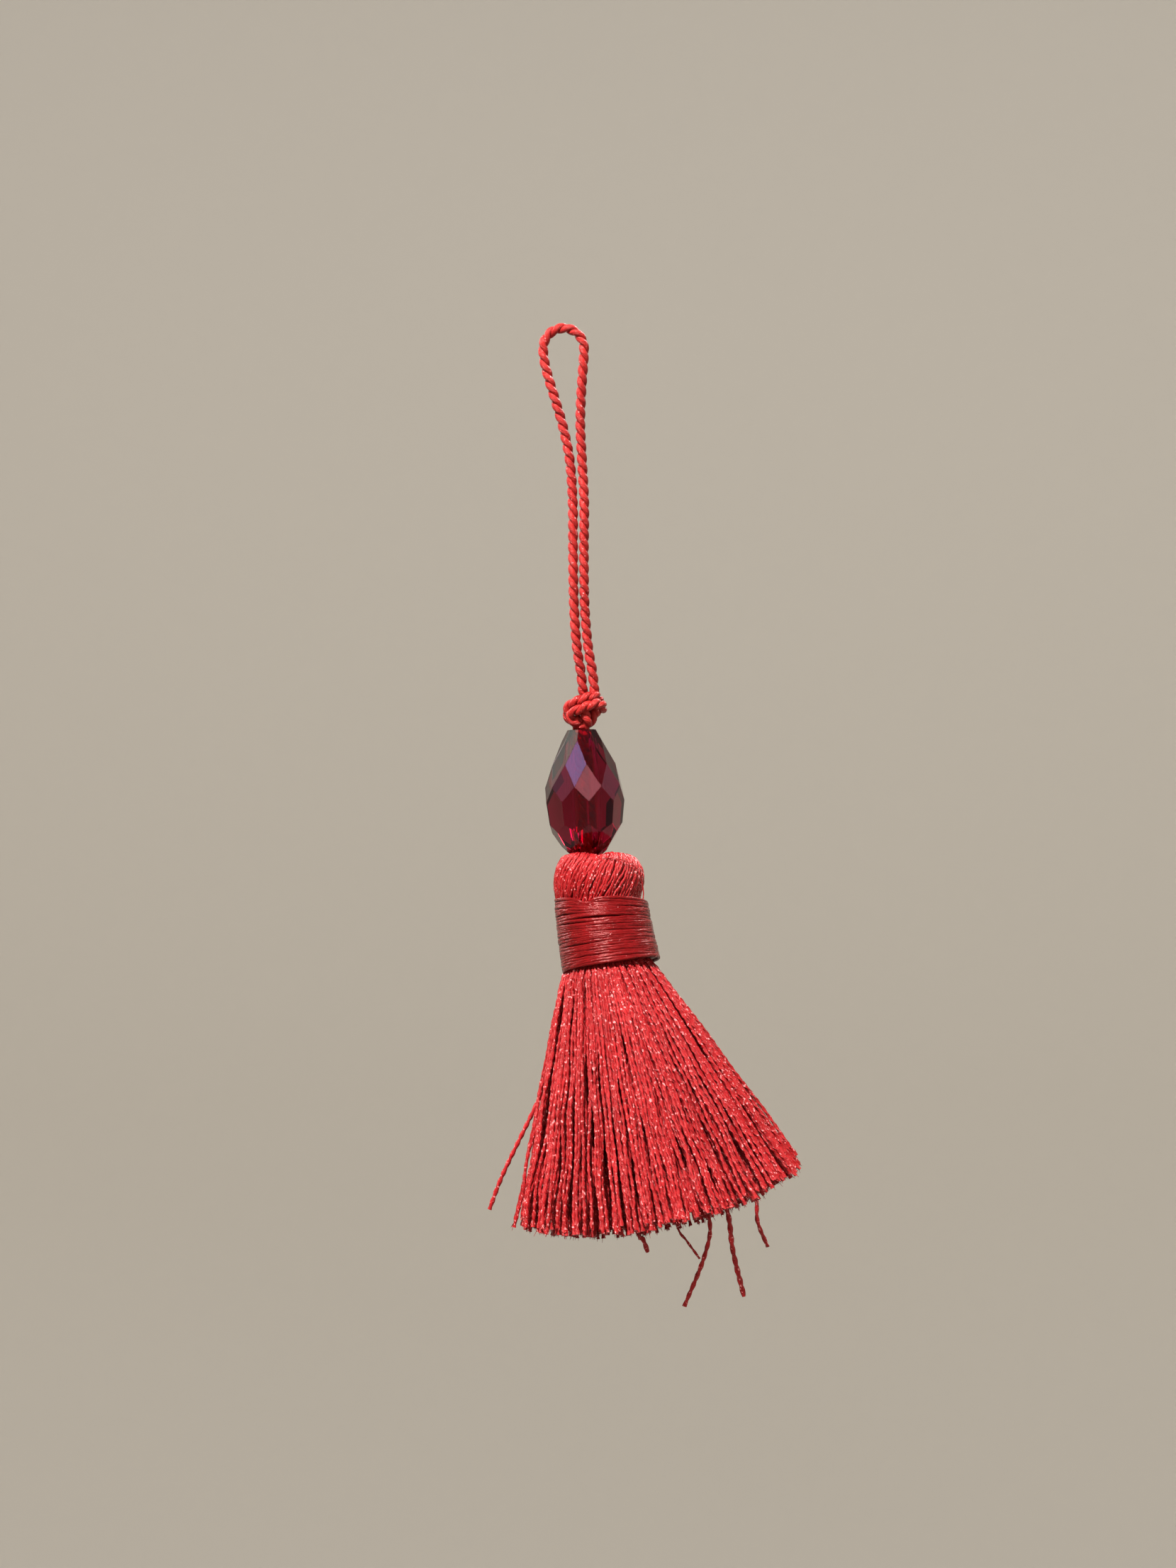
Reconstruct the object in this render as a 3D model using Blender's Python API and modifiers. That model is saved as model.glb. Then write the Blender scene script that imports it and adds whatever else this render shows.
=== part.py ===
"""A yarn tassel with a glass drop bead, hung by a knotted cord loop.

Metres, +Z up, front towards -Y. The origin is the hang point: the inside of the loop's top.
Sizes in the tables are in millimetres.
"""

import math
import random
from collections import namedtuple

import bmesh
import bpy
from mathutils import Matrix, Vector
from mathutils.bvhtree import BVHTree

MM = 0.001
TURN = 2 * math.pi
WELD = 0.000002

# Cord of two plies, laid left-handed
CORD_R = 0.58
CORD_WAIST = 0.30
CORD_LAY = 2.6
CORD_STEPS = 7
PLY_SIDES = 6

# Hanging loop: the two runs from the knot up to the eye
EYE_R = 2.40
EYE_POINTS = 9
Run = namedtuple("Run", "z x y half turn")
RUNS = (
    Run(z=-41.98, x=2.95, y=0.10, half=0.68, turn=0),
    Run(z=-39.8, x=2.70, y=0.10, half=0.68, turn=4),
    Run(z=-36.7, x=2.20, y=0.00, half=0.68, turn=14),
    Run(z=-32.0, x=1.85, y=-0.10, half=0.68, turn=24),
    Run(z=-26.0, x=1.75, y=-0.10, half=0.68, turn=22),
    Run(z=-20.0, x=1.75, y=0.00, half=0.68, turn=10),
    Run(z=-15.0, x=1.45, y=0.10, half=0.72, turn=2),
    Run(z=-11.0, x=0.95, y=0.15, half=1.02, turn=0),
    Run(z=-8.0, x=0.55, y=0.10, half=1.48, turn=0),
    Run(z=-5.6, x=0.25, y=0.05, half=1.92, turn=0),
    Run(z=-3.6, x=0.06, y=0.00, half=2.26, turn=0),
)

# Overhand knot in the doubled cord, from the runs down to the bead, about its own middle
KNOT_AT = (2.42, 0.0, -44.35)
PAIR_HALF = 0.58
KNOT_AROUND = 40
KNOT_RINGS = 24
KNOT_FLOOR = 1.0
KNOT_STEP = 0.35
KNOT_REACH = 6.0
KNOT_SMOOTH = 0.35
Bend = namedtuple("Bend", "x y z")
KNOT_BENDS = (
    Bend(x=0.53, y=0.10, z=2.05),
    Bend(x=0.65, y=0.35, z=1.35),
    Bend(x=1.00, y=0.50, z=0.00),
    Bend(x=0.35, y=0.30, z=-1.50),
    Bend(x=-1.35, y=-0.15, z=-1.35),
    Bend(x=-1.75, y=-0.70, z=-0.10),
    Bend(x=-0.35, y=-1.30, z=0.70),
    Bend(x=1.45, y=-0.75, z=1.25),
    Bend(x=1.90, y=0.55, z=0.70),
    Bend(x=0.35, y=1.30, z=0.10),
    Bend(x=-0.55, y=0.35, z=0.00),
    Bend(x=-0.20, y=-0.95, z=-0.75),
    Bend(x=-0.22, y=-0.40, z=-1.70),
)

# Doubled cord through the bead, which ends a little above the floor of the head's socket
CORE_R = 0.82
CORE_END_GAP = 0.35
CROWN_Z = -0.9

# Faceted drop bead, heights above its lower end
BEAD_TOP = (2.17, 0.0, -46.62)
BEAD_FOOT = (2.72, 0.0, -61.42)
BORE_R = 1.20
BORE_SIDES = 24
FACETS_AROUND = 9
FACET_TURN = 6
FacetRow = namedtuple("FacetRow", "z r lean offset")
FACET_ROWS = (
    FacetRow(z=12.80, r=2.68, lean=27.9, offset=0.0),
    FacetRow(z=10.70, r=3.57, lean=21.8, offset=0.5),
    FacetRow(z=8.10, r=4.33, lean=11.7, offset=0.0),
    FacetRow(z=5.60, r=4.31, lean=-6.8, offset=0.5),
    FacetRow(z=2.80, r=3.75, lean=-31.8, offset=0.0),
    FacetRow(z=0.85, r=2.55, lean=-48, offset=0.5),
)

# Folded yarn: head, neck under the binding and the root of the skirt. The rings are set down
# the neck's own middle line, which leans more and more to the side; x shifts a ring sideways
NECK_AT = (3.90, 0.0, -61.10)
NECK_LEAN_TOP = 1.5
NECK_LEAN_FOOT = 9.5
NECK_FORWARD = 9.0
NECK_STEP = 0.1
RIBS = 16
RIB_STEPS = 4
RIB_HIGH = 0.18
RIB_SLANT = 0.05
Ring = namedtuple("Ring", "r z x rib")
YARN_RINGS = (
    Ring(r=0.00, z=-3.30, x=-0.60, rib=0.0),
    Ring(r=1.25, z=-3.30, x=-0.60, rib=0.0),
    Ring(r=1.35, z=-1.25, x=-0.60, rib=0.0),
    Ring(r=2.45, z=-0.88, x=-0.58, rib=0.4),
    Ring(r=3.60, z=0.00, x=-0.35, rib=0.8),
    Ring(r=4.65, z=-0.45, x=0.10, rib=1.0),
    Ring(r=5.35, z=-1.60, x=0.15, rib=1.0),
    Ring(r=5.50, z=-3.30, x=0.10, rib=1.0),
    Ring(r=5.25, z=-4.90, x=0.00, rib=0.8),
    Ring(r=4.96, z=-5.36, x=0.00, rib=0.0),
    Ring(r=4.96, z=-13.72, x=0.00, rib=0.0),
    Ring(r=5.60, z=-13.80, x=0.00, rib=0.5),
    Ring(r=5.95, z=-14.80, x=0.00, rib=1.0),
    Ring(r=0.00, z=-15.30, x=0.00, rib=0.0),
)

# Thread bound round the neck
BIND_TOP = -5.70
BIND_FOOT = -13.40
BIND_INNER_R = 5.28
BIND_EDGE_R = 5.50
BIND_CREST_R = 5.78
BIND_VALLEY_R = 5.52
BIND_BANDS = 7
BIND_AROUND = 44
BIND_CHAMFER = 0.1
BIND_WAVE = 0.13

# Skirt: strands set out from the middle like the seeds of a sunflower
STRANDS = 176
SEED_TURN = math.radians(137.508)
ROOT_R = 5.60
ROOT_Z = -14.10
FRINGE_LONG = 30.4
FRINGE_SIDE_LESS = 1.5
FRINGE_UNEVEN = 0.45
FAN_LEAN = 13.1
FAN_HALF = 24.2
FAN_FORWARD = 7.0
FAN_DEPTH_HALF = 17.0
STRAND_ROOT_R = 0.23
STRAND_TIP_R = 0.64
STRAND_SPLAY = 0.45
STRAND_BOW = 0.10
STRAND_PARTS = (0.0, 0.30, 0.65, 1.0)
SEED = 11

# Yarns that reach past the hem or leave the skirt's side, as seen from the front: how much of
# the strand is kept, where it leaves the others, a point on its way and its end
Stray = namedtuple("Stray", "kept leave_x leave_z way_x way_z end_x end_z")
STRAYS = (
    Stray(kept=2, leave_x=-3.6, leave_z=-88.5, way_x=-7.0, way_z=-98.6, end_x=-8.7, end_z=-103.0),
    Stray(kept=4, leave_x=8.6, leave_z=-104.2, way_x=9.3, way_z=-106.4, end_x=9.9, end_z=-108.0),
    Stray(kept=4, leave_x=13.0, leave_z=-103.6, way_x=14.4, way_z=-106.6, end_x=16.0, end_z=-108.8),
    Stray(kept=4, leave_x=16.6, leave_z=-103.0, way_x=16.6, way_z=-108.4, end_x=14.2, end_z=-114.4),
    Stray(kept=4, leave_x=18.6, leave_z=-102.0, way_x=19.9, way_z=-107.8, end_x=21.2, end_z=-113.2),
    Stray(kept=4, leave_x=21.8, leave_z=-100.6, way_x=22.8, way_z=-104.4, end_x=24.0, end_z=-107.4),
)
STRAY_TIP_R = 0.36

YARN_RED = (0.53, 0.050, 0.058)
CORD_RED = (0.46, 0.052, 0.052)
BIND_RED = (0.27, 0.022, 0.024)
GLASS_RED = (0.10, 0.002, 0.010)


def new_collection(name):
    collection = bpy.data.collections.new(name)
    bpy.context.scene.collection.children.link(collection)
    return collection


def material(name, colour, roughness):
    made = bpy.data.materials.new(name)
    made.use_nodes = True
    shader = made.node_tree.nodes["Principled BSDF"]
    shader.inputs["Base Color"].default_value = (*colour, 1.0)
    shader.inputs["Roughness"].default_value = roughness
    shader.inputs["Metallic"].default_value = 0.0
    made.diffuse_color = (*colour, 1.0)
    return made


def as_guide(obj):
    obj.hide_render = True
    obj.display_type = "WIRE"
    return obj


def mesh_object(name, mesh, collection):
    obj = bpy.data.objects.new(name, mesh)
    collection.objects.link(obj)
    return obj


def evaluated_mesh(obj):
    """The object's mesh as its modifiers or its bevel make it."""
    bpy.context.view_layer.update()
    graph = bpy.context.evaluated_depsgraph_get()
    return bpy.data.meshes.new_from_object(obj.evaluated_get(graph), depsgraph=graph)


def tidy_mesh(mesh):
    """Welds loose caps and turns the faces outwards."""
    bm = bmesh.new()
    bm.from_mesh(mesh)
    bmesh.ops.remove_doubles(bm, verts=bm.verts, dist=WELD)
    bmesh.ops.recalc_face_normals(bm, faces=bm.faces)
    bm.to_mesh(mesh)
    bm.free()
    return mesh


def curve_to_mesh(curve_object, collection):
    """Takes a curve's bevelled shape as a welded mesh of the same name."""
    name = curve_object.name
    place = curve_object.matrix_world.copy()
    mesh = tidy_mesh(evaluated_mesh(curve_object))
    bpy.data.objects.remove(curve_object)
    obj = mesh_object(name, mesh, collection)
    obj.matrix_world = place
    return obj


def catmull_rom(points, pieces):
    """A smooth line through the points, with some short pieces between each two."""
    points = [Vector(p) for p in points]
    first = 2 * points[0] - points[1]
    last = 2 * points[-1] - points[-2]
    ring = [first, *points, last]
    line = []
    for a, b, c, d in zip(ring, ring[1:], ring[2:], ring[3:]):
        for k in range(pieces):
            t = k / pieces
            line.append(
                0.5 * ((2 * b) + (c - a) * t + (2 * a - 5 * b + 4 * c - d) * t**2)
                + 0.5 * (3 * b - a - 3 * c + d) * t**3
            )
    line.append(points[-1])
    return line


def even_steps(line, step):
    """Points at nearly equal distances along a line."""
    lengths = [0.0]
    for a, b in zip(line, line[1:]):
        lengths.append(lengths[-1] + (b - a).length)
    count = max(2, round(lengths[-1] / step))
    points = []
    k = 0
    for i in range(count + 1):
        goal = lengths[-1] * i / count
        while k < len(line) - 2 and lengths[k + 1] < goal:
            k += 1
        share = (goal - lengths[k]) / (lengths[k + 1] - lengths[k])
        points.append(line[k].lerp(line[k + 1], min(1.0, share)))
    return points


def ply_section(name, guides):
    """The outline of two plies side by side: a tip on each ply and its two shoulders."""
    curve = bpy.data.curves.new(name, "CURVE")
    curve.dimensions = "2D"
    curve.fill_mode = "NONE"
    spline = curve.splines.new("POLY")
    spline.points.add(PLY_SIDES - 1)
    lobe = CORD_R - CORD_WAIST
    for k, point in enumerate(spline.points):
        angle = TURN * k / PLY_SIDES
        side = 1 if math.cos(angle) > 0 else -1
        tip = abs(math.cos(angle)) > 0.9
        x = side * (CORD_R if tip else lobe)
        y = 0.0 if tip else math.copysign(CORD_WAIST, math.sin(angle))
        point.co = (x * MM, y * MM, 0, 1)
    spline.use_cyclic_u = True
    section = bpy.data.objects.new(name, curve)
    guides.objects.link(section)
    return as_guide(section)


def laid_cord(name, points, section, collection):
    """A cord of two plies along the points, whose twist is the tilt of its section."""
    curve = bpy.data.curves.new(name, "CURVE")
    curve.dimensions = "3D"
    curve.bevel_mode = "OBJECT"
    curve.bevel_object = section
    curve.use_fill_caps = True
    spline = curve.splines.new("POLY")
    spline.points.add(len(points) - 1)
    gone = 0.0
    for k, (point, place) in enumerate(zip(spline.points, points)):
        if k:
            gone += (place - points[k - 1]).length
        point.co = (*(place * MM), 1)
        point.tilt = TURN * gone / CORD_LAY
    cord = bpy.data.objects.new(name, curve)
    collection.objects.link(cord)
    return curve_to_mesh(cord, collection)


def loop_route():
    """Up one run, round the eye and down the other run."""
    left, right = [], []
    for run in RUNS:
        turn = math.radians(run.turn)
        out = Vector((math.cos(turn), math.sin(turn), 0)) * run.half
        middle = Vector((run.x, run.y, run.z))
        left.append(middle - out)
        right.append(middle + out)
    top = CORD_R - EYE_R
    eye = []
    for k in range(EYE_POINTS):
        angle = math.pi * (1 - k / (EYE_POINTS - 1))
        eye.append(Vector((EYE_R * math.cos(angle), 0, top + EYE_R * math.sin(angle))))
    return left + eye + right[::-1]


def hanging_loop(section, collection):
    line = catmull_rom(loop_route(), 12)
    return laid_cord("hanging_loop", even_steps(line, CORD_LAY / CORD_STEPS), section, collection)


def knot_strands():
    """The two cords of the doubled cord, side by side on the knot's outside."""
    line = even_steps(catmull_rom(KNOT_BENDS, 10), KNOT_STEP)
    sideways = []
    for k, place in enumerate(line):
        along = line[min(k + 1, len(line) - 1)] - line[max(k - 1, 0)]
        sideways.append(along.cross(place).normalized())
    pair = ([], [])
    for k, place in enumerate(line):
        near = sideways[max(0, k - 2) : k + 3]
        out = sum(near, Vector()).normalized() * PAIR_HALF
        pair[0].append(place - out)
        pair[1].append(place + out)
    return pair


def knot_skin(section, guides):
    """A closed skin drawn over the knot's cords, so that each cord and ply stands out on it."""
    trees = []
    for k, points in enumerate(knot_strands()):
        strand = as_guide(laid_cord(f"knot_strand_{k}", points, section, guides))
        bm = bmesh.new()
        bm.from_mesh(strand.data)
        trees.append(BVHTree.FromBMesh(bm))
        bm.free()
    far = KNOT_REACH * MM
    bm = bmesh.new()
    bmesh.ops.create_uvsphere(bm, u_segments=KNOT_AROUND, v_segments=KNOT_RINGS, radius=MM)
    for vert in bm.verts:
        ray = vert.co.normalized()
        reach = KNOT_FLOOR * MM
        for tree in trees:
            hit = tree.ray_cast(ray * far, -ray, far)[0]
            if hit:
                reach = max(reach, hit.length)
        vert.co = ray * reach
    bmesh.ops.smooth_vert(
        bm, verts=bm.verts, factor=KNOT_SMOOTH, use_axis_x=True, use_axis_y=True, use_axis_z=True
    )
    mesh = bpy.data.meshes.new("knot")
    bm.to_mesh(mesh)
    bm.free()
    return tidy_mesh(mesh)


def neck_lean(z):
    """How far the neck leans to the side at a level of its middle line."""
    share = min(1.0, max(0.0, z / BIND_FOOT))
    return math.radians(NECK_LEAN_TOP + (NECK_LEAN_FOOT - NECK_LEAN_TOP) * share)


def neck_down(z):
    """The way that the neck's middle line runs at a level."""
    return Vector((math.tan(neck_lean(z)), -math.tan(math.radians(NECK_FORWARD)), -1)).normalized()


def neck_middle():
    """The neck's middle line from the crown to the skirt's root, a point for each step."""
    line = [Vector(NECK_AT)]
    for k in range(round(-YARN_RINGS[-1].z / NECK_STEP) + 1):
        line.append(line[-1] + neck_down(-k * NECK_STEP) * NECK_STEP)
    return line


def neck_place(x, y, z, middle):
    """From a place across and along the bent neck to the whole part."""
    down = neck_down(z)
    along = max(0.0, -z / NECK_STEP)
    k = min(int(along), len(middle) - 2)
    centre = middle[k].lerp(middle[k + 1], along - k)
    if z > 0:
        centre = middle[0] - down * z
    across = Vector((0, 1, 0)).cross(-down).normalized()
    back = (-down).cross(across)
    return centre + across * x + back * y


def bend_with_neck(mesh):
    """Takes a mesh turned about a straight axis to its place on the bent neck."""
    middle = neck_middle()
    for vert in mesh.vertices:
        spot = vert.co / MM
        vert.co = (neck_place(spot.x, spot.y, spot.z, middle) - Vector(NECK_AT)) * MM
    return mesh


def core_cord(guides):
    """The doubled cord, from inside the knot, through the bead, into the head."""
    middle = neck_middle()
    shift = YARN_RINGS[0].x
    crown = neck_place(shift, 0, CROWN_Z, middle)
    socket = neck_place(shift, 0, YARN_RINGS[0].z + CORE_END_GAP, middle)
    stops = [Vector(KNOT_AT), Vector(BEAD_TOP), Vector(BEAD_FOOT), crown, socket]
    curve = bpy.data.curves.new("core_cord", "CURVE")
    curve.dimensions = "3D"
    curve.bevel_depth = CORE_R * MM
    curve.bevel_resolution = 2
    curve.use_fill_caps = True
    spline = curve.splines.new("POLY")
    spline.points.add(len(stops) - 1)
    for point, place in zip(spline.points, stops):
        point.co = (*(place * MM), 1)
    cord = bpy.data.objects.new("core_cord", curve)
    guides.objects.link(cord)
    return as_guide(curve_to_mesh(cord, guides))


def join(obj, other, itself=False):
    """A Boolean union that stays on the object."""
    union = obj.modifiers.new("join_" + other.name, "BOOLEAN")
    union.operation = "UNION"
    union.solver = "EXACT"
    union.use_self = itself
    union.object = other


def knot(section, collection, guides):
    made = mesh_object("knot", knot_skin(section, guides), collection)
    made.location = Vector(KNOT_AT) * MM
    join(made, core_cord(guides))
    return made


def bead_frame():
    """From the bead's own axis, with its foot at zero, to the whole part."""
    foot, top = Vector(BEAD_FOOT), Vector(BEAD_TOP)
    turn = (top - foot).to_track_quat("Z", "Y").to_matrix().to_4x4()
    return Matrix.Translation(foot * MM) @ turn


def bead(collection, guides):
    """A drop cut by rows of flat facets, each row set half a facet from the last."""
    high = (Vector(BEAD_TOP) - Vector(BEAD_FOOT)).length
    widest = max(row.r for row in FACET_ROWS)
    bm = bmesh.new()
    size = Matrix.Diagonal((3 * widest * MM, 3 * widest * MM, high * MM, 1))
    middle = Matrix.Translation((0, 0, high / 2 * MM))
    bmesh.ops.create_cube(bm, size=1, matrix=middle @ size)
    for row in FACET_ROWS:
        lean = math.radians(row.lean)
        for k in range(FACETS_AROUND):
            angle = TURN * (k + row.offset) / FACETS_AROUND + math.radians(FACET_TURN)
            out = Vector((math.cos(angle), math.sin(angle), 0))
            normal = out * math.cos(lean) + Vector((0, 0, math.sin(lean)))
            place = out * row.r + Vector((0, 0, row.z))
            geometry = bm.verts[:] + bm.edges[:] + bm.faces[:]
            cut = bmesh.ops.bisect_plane(
                bm, geom=geometry, dist=WELD, plane_co=place * MM, plane_no=normal, clear_outer=True
            )
            rim = [e for e in cut["geom_cut"] if isinstance(e, bmesh.types.BMEdge)]
            bmesh.ops.contextual_create(bm, geom=rim)
    bmesh.ops.recalc_face_normals(bm, faces=bm.faces)
    mesh = bpy.data.meshes.new("bead")
    bm.to_mesh(mesh)
    bm.free()
    made = mesh_object("bead", mesh, collection)
    made.matrix_world = bead_frame()

    bm = bmesh.new()
    bmesh.ops.create_cone(
        bm,
        cap_ends=True,
        segments=BORE_SIDES,
        radius1=BORE_R * MM,
        radius2=BORE_R * MM,
        depth=2 * high * MM,
        matrix=middle,
    )
    mesh = bpy.data.meshes.new("bead_bore")
    bm.to_mesh(mesh)
    bm.free()
    bore = as_guide(mesh_object("bead_bore", mesh, guides))
    bore.matrix_world = bead_frame()
    cut = made.modifiers.new("bore", "BOOLEAN")
    cut.operation = "DIFFERENCE"
    cut.solver = "EXACT"
    cut.object = bore
    return made


def turned_mesh(name, outline, steps, collection):
    """A profile turned about the axis; it runs down the outer side, top to bottom."""
    mesh = bpy.data.meshes.new(name)
    edges = [(k, k + 1) for k in range(len(outline) - 1)]
    mesh.from_pydata([(r * MM, 0, z * MM) for r, z in outline], edges, [])
    profile = mesh_object(name, mesh, collection)
    screw = profile.modifiers.new("turn", "SCREW")
    screw.steps = steps
    screw.render_steps = steps
    screw.use_merge_vertices = True
    screw.merge_threshold = WELD
    turned = tidy_mesh(evaluated_mesh(profile))
    bpy.data.objects.remove(profile)
    return turned


def yarn_body_mesh(collection):
    """Head, neck and skirt root, with the folded yarn raised as ribs."""
    outline = [(ring.r, ring.z) for ring in YARN_RINGS]
    mesh = turned_mesh("yarn_body", outline, RIBS * RIB_STEPS, collection)
    for vert in mesh.vertices:
        r = math.hypot(vert.co.x, vert.co.y)
        ring = min(YARN_RINGS, key=lambda row: math.hypot(row.r * MM - r, row.z * MM - vert.co.z))
        if ring.rib:
            angle = math.atan2(vert.co.y, vert.co.x)
            wave = math.cos(RIBS * (angle + RIB_SLANT * ring.z / ring.r))
            grown = 1 + RIB_HIGH * ring.rib * wave / ring.r
            vert.co.x *= grown
            vert.co.y *= grown
        vert.co.x += ring.x * MM
    return bend_with_neck(mesh)


def strand_routes():
    """Middle line of each strand, whose place in a disc sets its root and the way that it fans."""
    rng = random.Random(SEED)
    middle = neck_middle()
    routes = []
    for i in range(STRANDS):
        out = math.sqrt((i + 0.5) / STRANDS)
        side = out * math.cos(i * SEED_TURN)
        deep = out * math.sin(i * SEED_TURN)
        root = neck_place(side * ROOT_R, deep * ROOT_R, ROOT_Z, middle)
        lean = math.radians(FAN_LEAN + FAN_HALF * side + rng.uniform(-1, 1) * STRAND_SPLAY)
        tip = math.radians(FAN_DEPTH_HALF * deep - FAN_FORWARD + rng.uniform(-1, 1) * STRAND_SPLAY)
        way = Vector((math.tan(lean), math.tan(tip), -1)).normalized()
        long = FRINGE_LONG - FRINGE_SIDE_LESS * side**2 + rng.uniform(-1, 1) * FRINGE_UNEVEN
        route = [root + way * long * part for part in STRAND_PARTS]
        for point in route[1:-1]:
            point.x += rng.uniform(-1, 1) * STRAND_BOW
            point.y += rng.uniform(-1, 1) * STRAND_BOW
        routes.append(route)
    return routes


def strand_radius(part):
    return STRAND_ROOT_R + (STRAND_TIP_R - STRAND_ROOT_R) * part


def add_strays(routes, radii):
    """Leads the nearest strand on the front half out past the others, once for each stray."""
    used = set()
    for stray in STRAYS:
        front = [i for i in range(len(routes)) if i not in used and routes[i][0].y < NECK_AT[1]]
        chosen = min(
            front,
            key=lambda i: math.hypot(
                routes[i][stray.kept - 1].x - stray.leave_x, routes[i][stray.kept - 1].z - stray.leave_z
            ),
        )
        used.add(chosen)
        kept = routes[chosen][: stray.kept]
        depth = kept[-1].y
        ends = [(stray.way_x, stray.way_z), (stray.end_x, stray.end_z)]
        if stray.kept < len(STRAND_PARTS):
            ends.insert(0, (stray.leave_x, stray.leave_z))
        routes[chosen] = kept + [Vector((x, depth, z)) for x, z in ends]
        radii[chosen] = radii[chosen][: stray.kept] + [STRAY_TIP_R] * len(ends)


def fringe(guides):
    """All strands of the skirt as one curve of four-sided, tapering tubes."""
    routes = strand_routes()
    radii = [[strand_radius(part) for part in STRAND_PARTS] for _ in routes]
    add_strays(routes, radii)
    curve = bpy.data.curves.new("fringe", "CURVE")
    curve.dimensions = "3D"
    curve.bevel_depth = MM
    curve.bevel_resolution = 0
    curve.use_fill_caps = True
    for route, sizes in zip(routes, radii):
        spline = curve.splines.new("POLY")
        spline.points.add(len(route) - 1)
        for point, place, size in zip(spline.points, route, sizes):
            point.co = (*(place * MM), 1)
            point.radius = size
    strands = bpy.data.objects.new("fringe", curve)
    guides.objects.link(strands)
    return as_guide(curve_to_mesh(strands, guides))


def tassel_yarn(collection, guides):
    made = mesh_object("tassel_yarn", yarn_body_mesh(collection), collection)
    made.location = Vector(NECK_AT) * MM
    join(made, fringe(guides), itself=True)
    return made


def neck_binding(collection):
    """A sleeve of wound thread in bands that wave a little round the neck."""
    band = (BIND_TOP - BIND_FOOT) / BIND_BANDS
    rim = (BIND_INNER_R, BIND_TOP - BIND_CHAMFER)
    outline = [rim, (BIND_EDGE_R, BIND_TOP)]
    for k in range(BIND_BANDS):
        outline.append((BIND_CREST_R, BIND_TOP - band * (k + 0.5)))
        if k < BIND_BANDS - 1:
            outline.append((BIND_VALLEY_R, BIND_TOP - band * (k + 1)))
    outline += [(BIND_EDGE_R, BIND_FOOT), (BIND_INNER_R, BIND_FOOT + BIND_CHAMFER), rim]
    mesh = turned_mesh("neck_binding", outline, BIND_AROUND, collection)
    for vert in mesh.vertices:
        r = math.hypot(vert.co.x, vert.co.y)
        if r > (BIND_EDGE_R + BIND_VALLEY_R) / 2 * MM:
            angle = math.atan2(vert.co.y, vert.co.x)
            level = vert.co.z / (band * MM)
            vert.co.z += BIND_WAVE * MM * math.sin(angle + level)
    made = mesh_object("neck_binding", bend_with_neck(mesh), collection)
    made.location = Vector(NECK_AT) * MM
    return made


def shade(obj, degrees):
    obj.data.shade_smooth()
    obj.data.set_sharp_from_angle(angle=math.radians(degrees))


def main():
    for obj in list(bpy.data.objects):
        bpy.data.objects.remove(obj)
    parts = new_collection("tassel")
    guides = new_collection("tassel_guides")
    section = ply_section("ply_section", guides)

    finishes = (
        (hanging_loop(section, parts), material("cord", CORD_RED, 0.45), 40),
        (knot(section, parts, guides), material("knot_cord", CORD_RED, 0.45), 40),
        (bead(parts, guides), material("glass", GLASS_RED, 0.05), 5),
        (tassel_yarn(parts, guides), material("yarn", YARN_RED, 0.4), 40),
        (neck_binding(parts), material("binding_thread", BIND_RED, 0.4), 40),
    )
    for obj, finish, sharp in finishes:
        obj.data.materials.clear()
        obj.data.materials.append(finish)
        shade(obj, sharp)


main()
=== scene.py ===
"""Looks of a yarn tassel with a glass drop bead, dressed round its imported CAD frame.

Sizes and places of the tassel are in millimetres, like those of the part's own source, and
are scaled to metres as meshes are made. Those of the stage and the lights are in metres.
"""

import math
from collections import namedtuple

import bmesh
import bpy
import numpy as np
from mathutils import Matrix, Vector


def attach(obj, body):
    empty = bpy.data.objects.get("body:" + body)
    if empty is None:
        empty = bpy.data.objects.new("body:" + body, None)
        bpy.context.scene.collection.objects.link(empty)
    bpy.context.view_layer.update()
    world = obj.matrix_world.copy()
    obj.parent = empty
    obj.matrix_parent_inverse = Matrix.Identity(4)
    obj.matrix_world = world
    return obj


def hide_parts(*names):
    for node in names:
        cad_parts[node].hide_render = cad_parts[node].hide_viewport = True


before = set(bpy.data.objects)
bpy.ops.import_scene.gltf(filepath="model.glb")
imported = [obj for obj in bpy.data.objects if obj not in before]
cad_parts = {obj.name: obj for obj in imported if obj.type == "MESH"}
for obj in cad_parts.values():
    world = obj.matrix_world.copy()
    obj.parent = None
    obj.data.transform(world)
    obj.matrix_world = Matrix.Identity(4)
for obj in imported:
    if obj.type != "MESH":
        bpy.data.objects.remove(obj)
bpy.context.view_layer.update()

MM = 0.001
TURN = 2 * math.pi
RANDOM_SEED = 5
GOLDEN_ANGLE = math.radians(137.508)

# How soon the groove between two plies ends beside its deepest line; smaller is narrower
GROOVE_NARROW = 0.06

# Edges of a fibre's mesh are sharp from this angle on; the texture moves this far in mm from tone 0 to tone 1
SHARP_FROM = math.radians(75)
TONE_SHIFT = 40

# The photograph's camera: level, in front of the tassel's middle
CAMERA_AT = (2.875, -256.0, -53.0)
LENS_MM = 50
SENSOR_MM = 36

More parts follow.
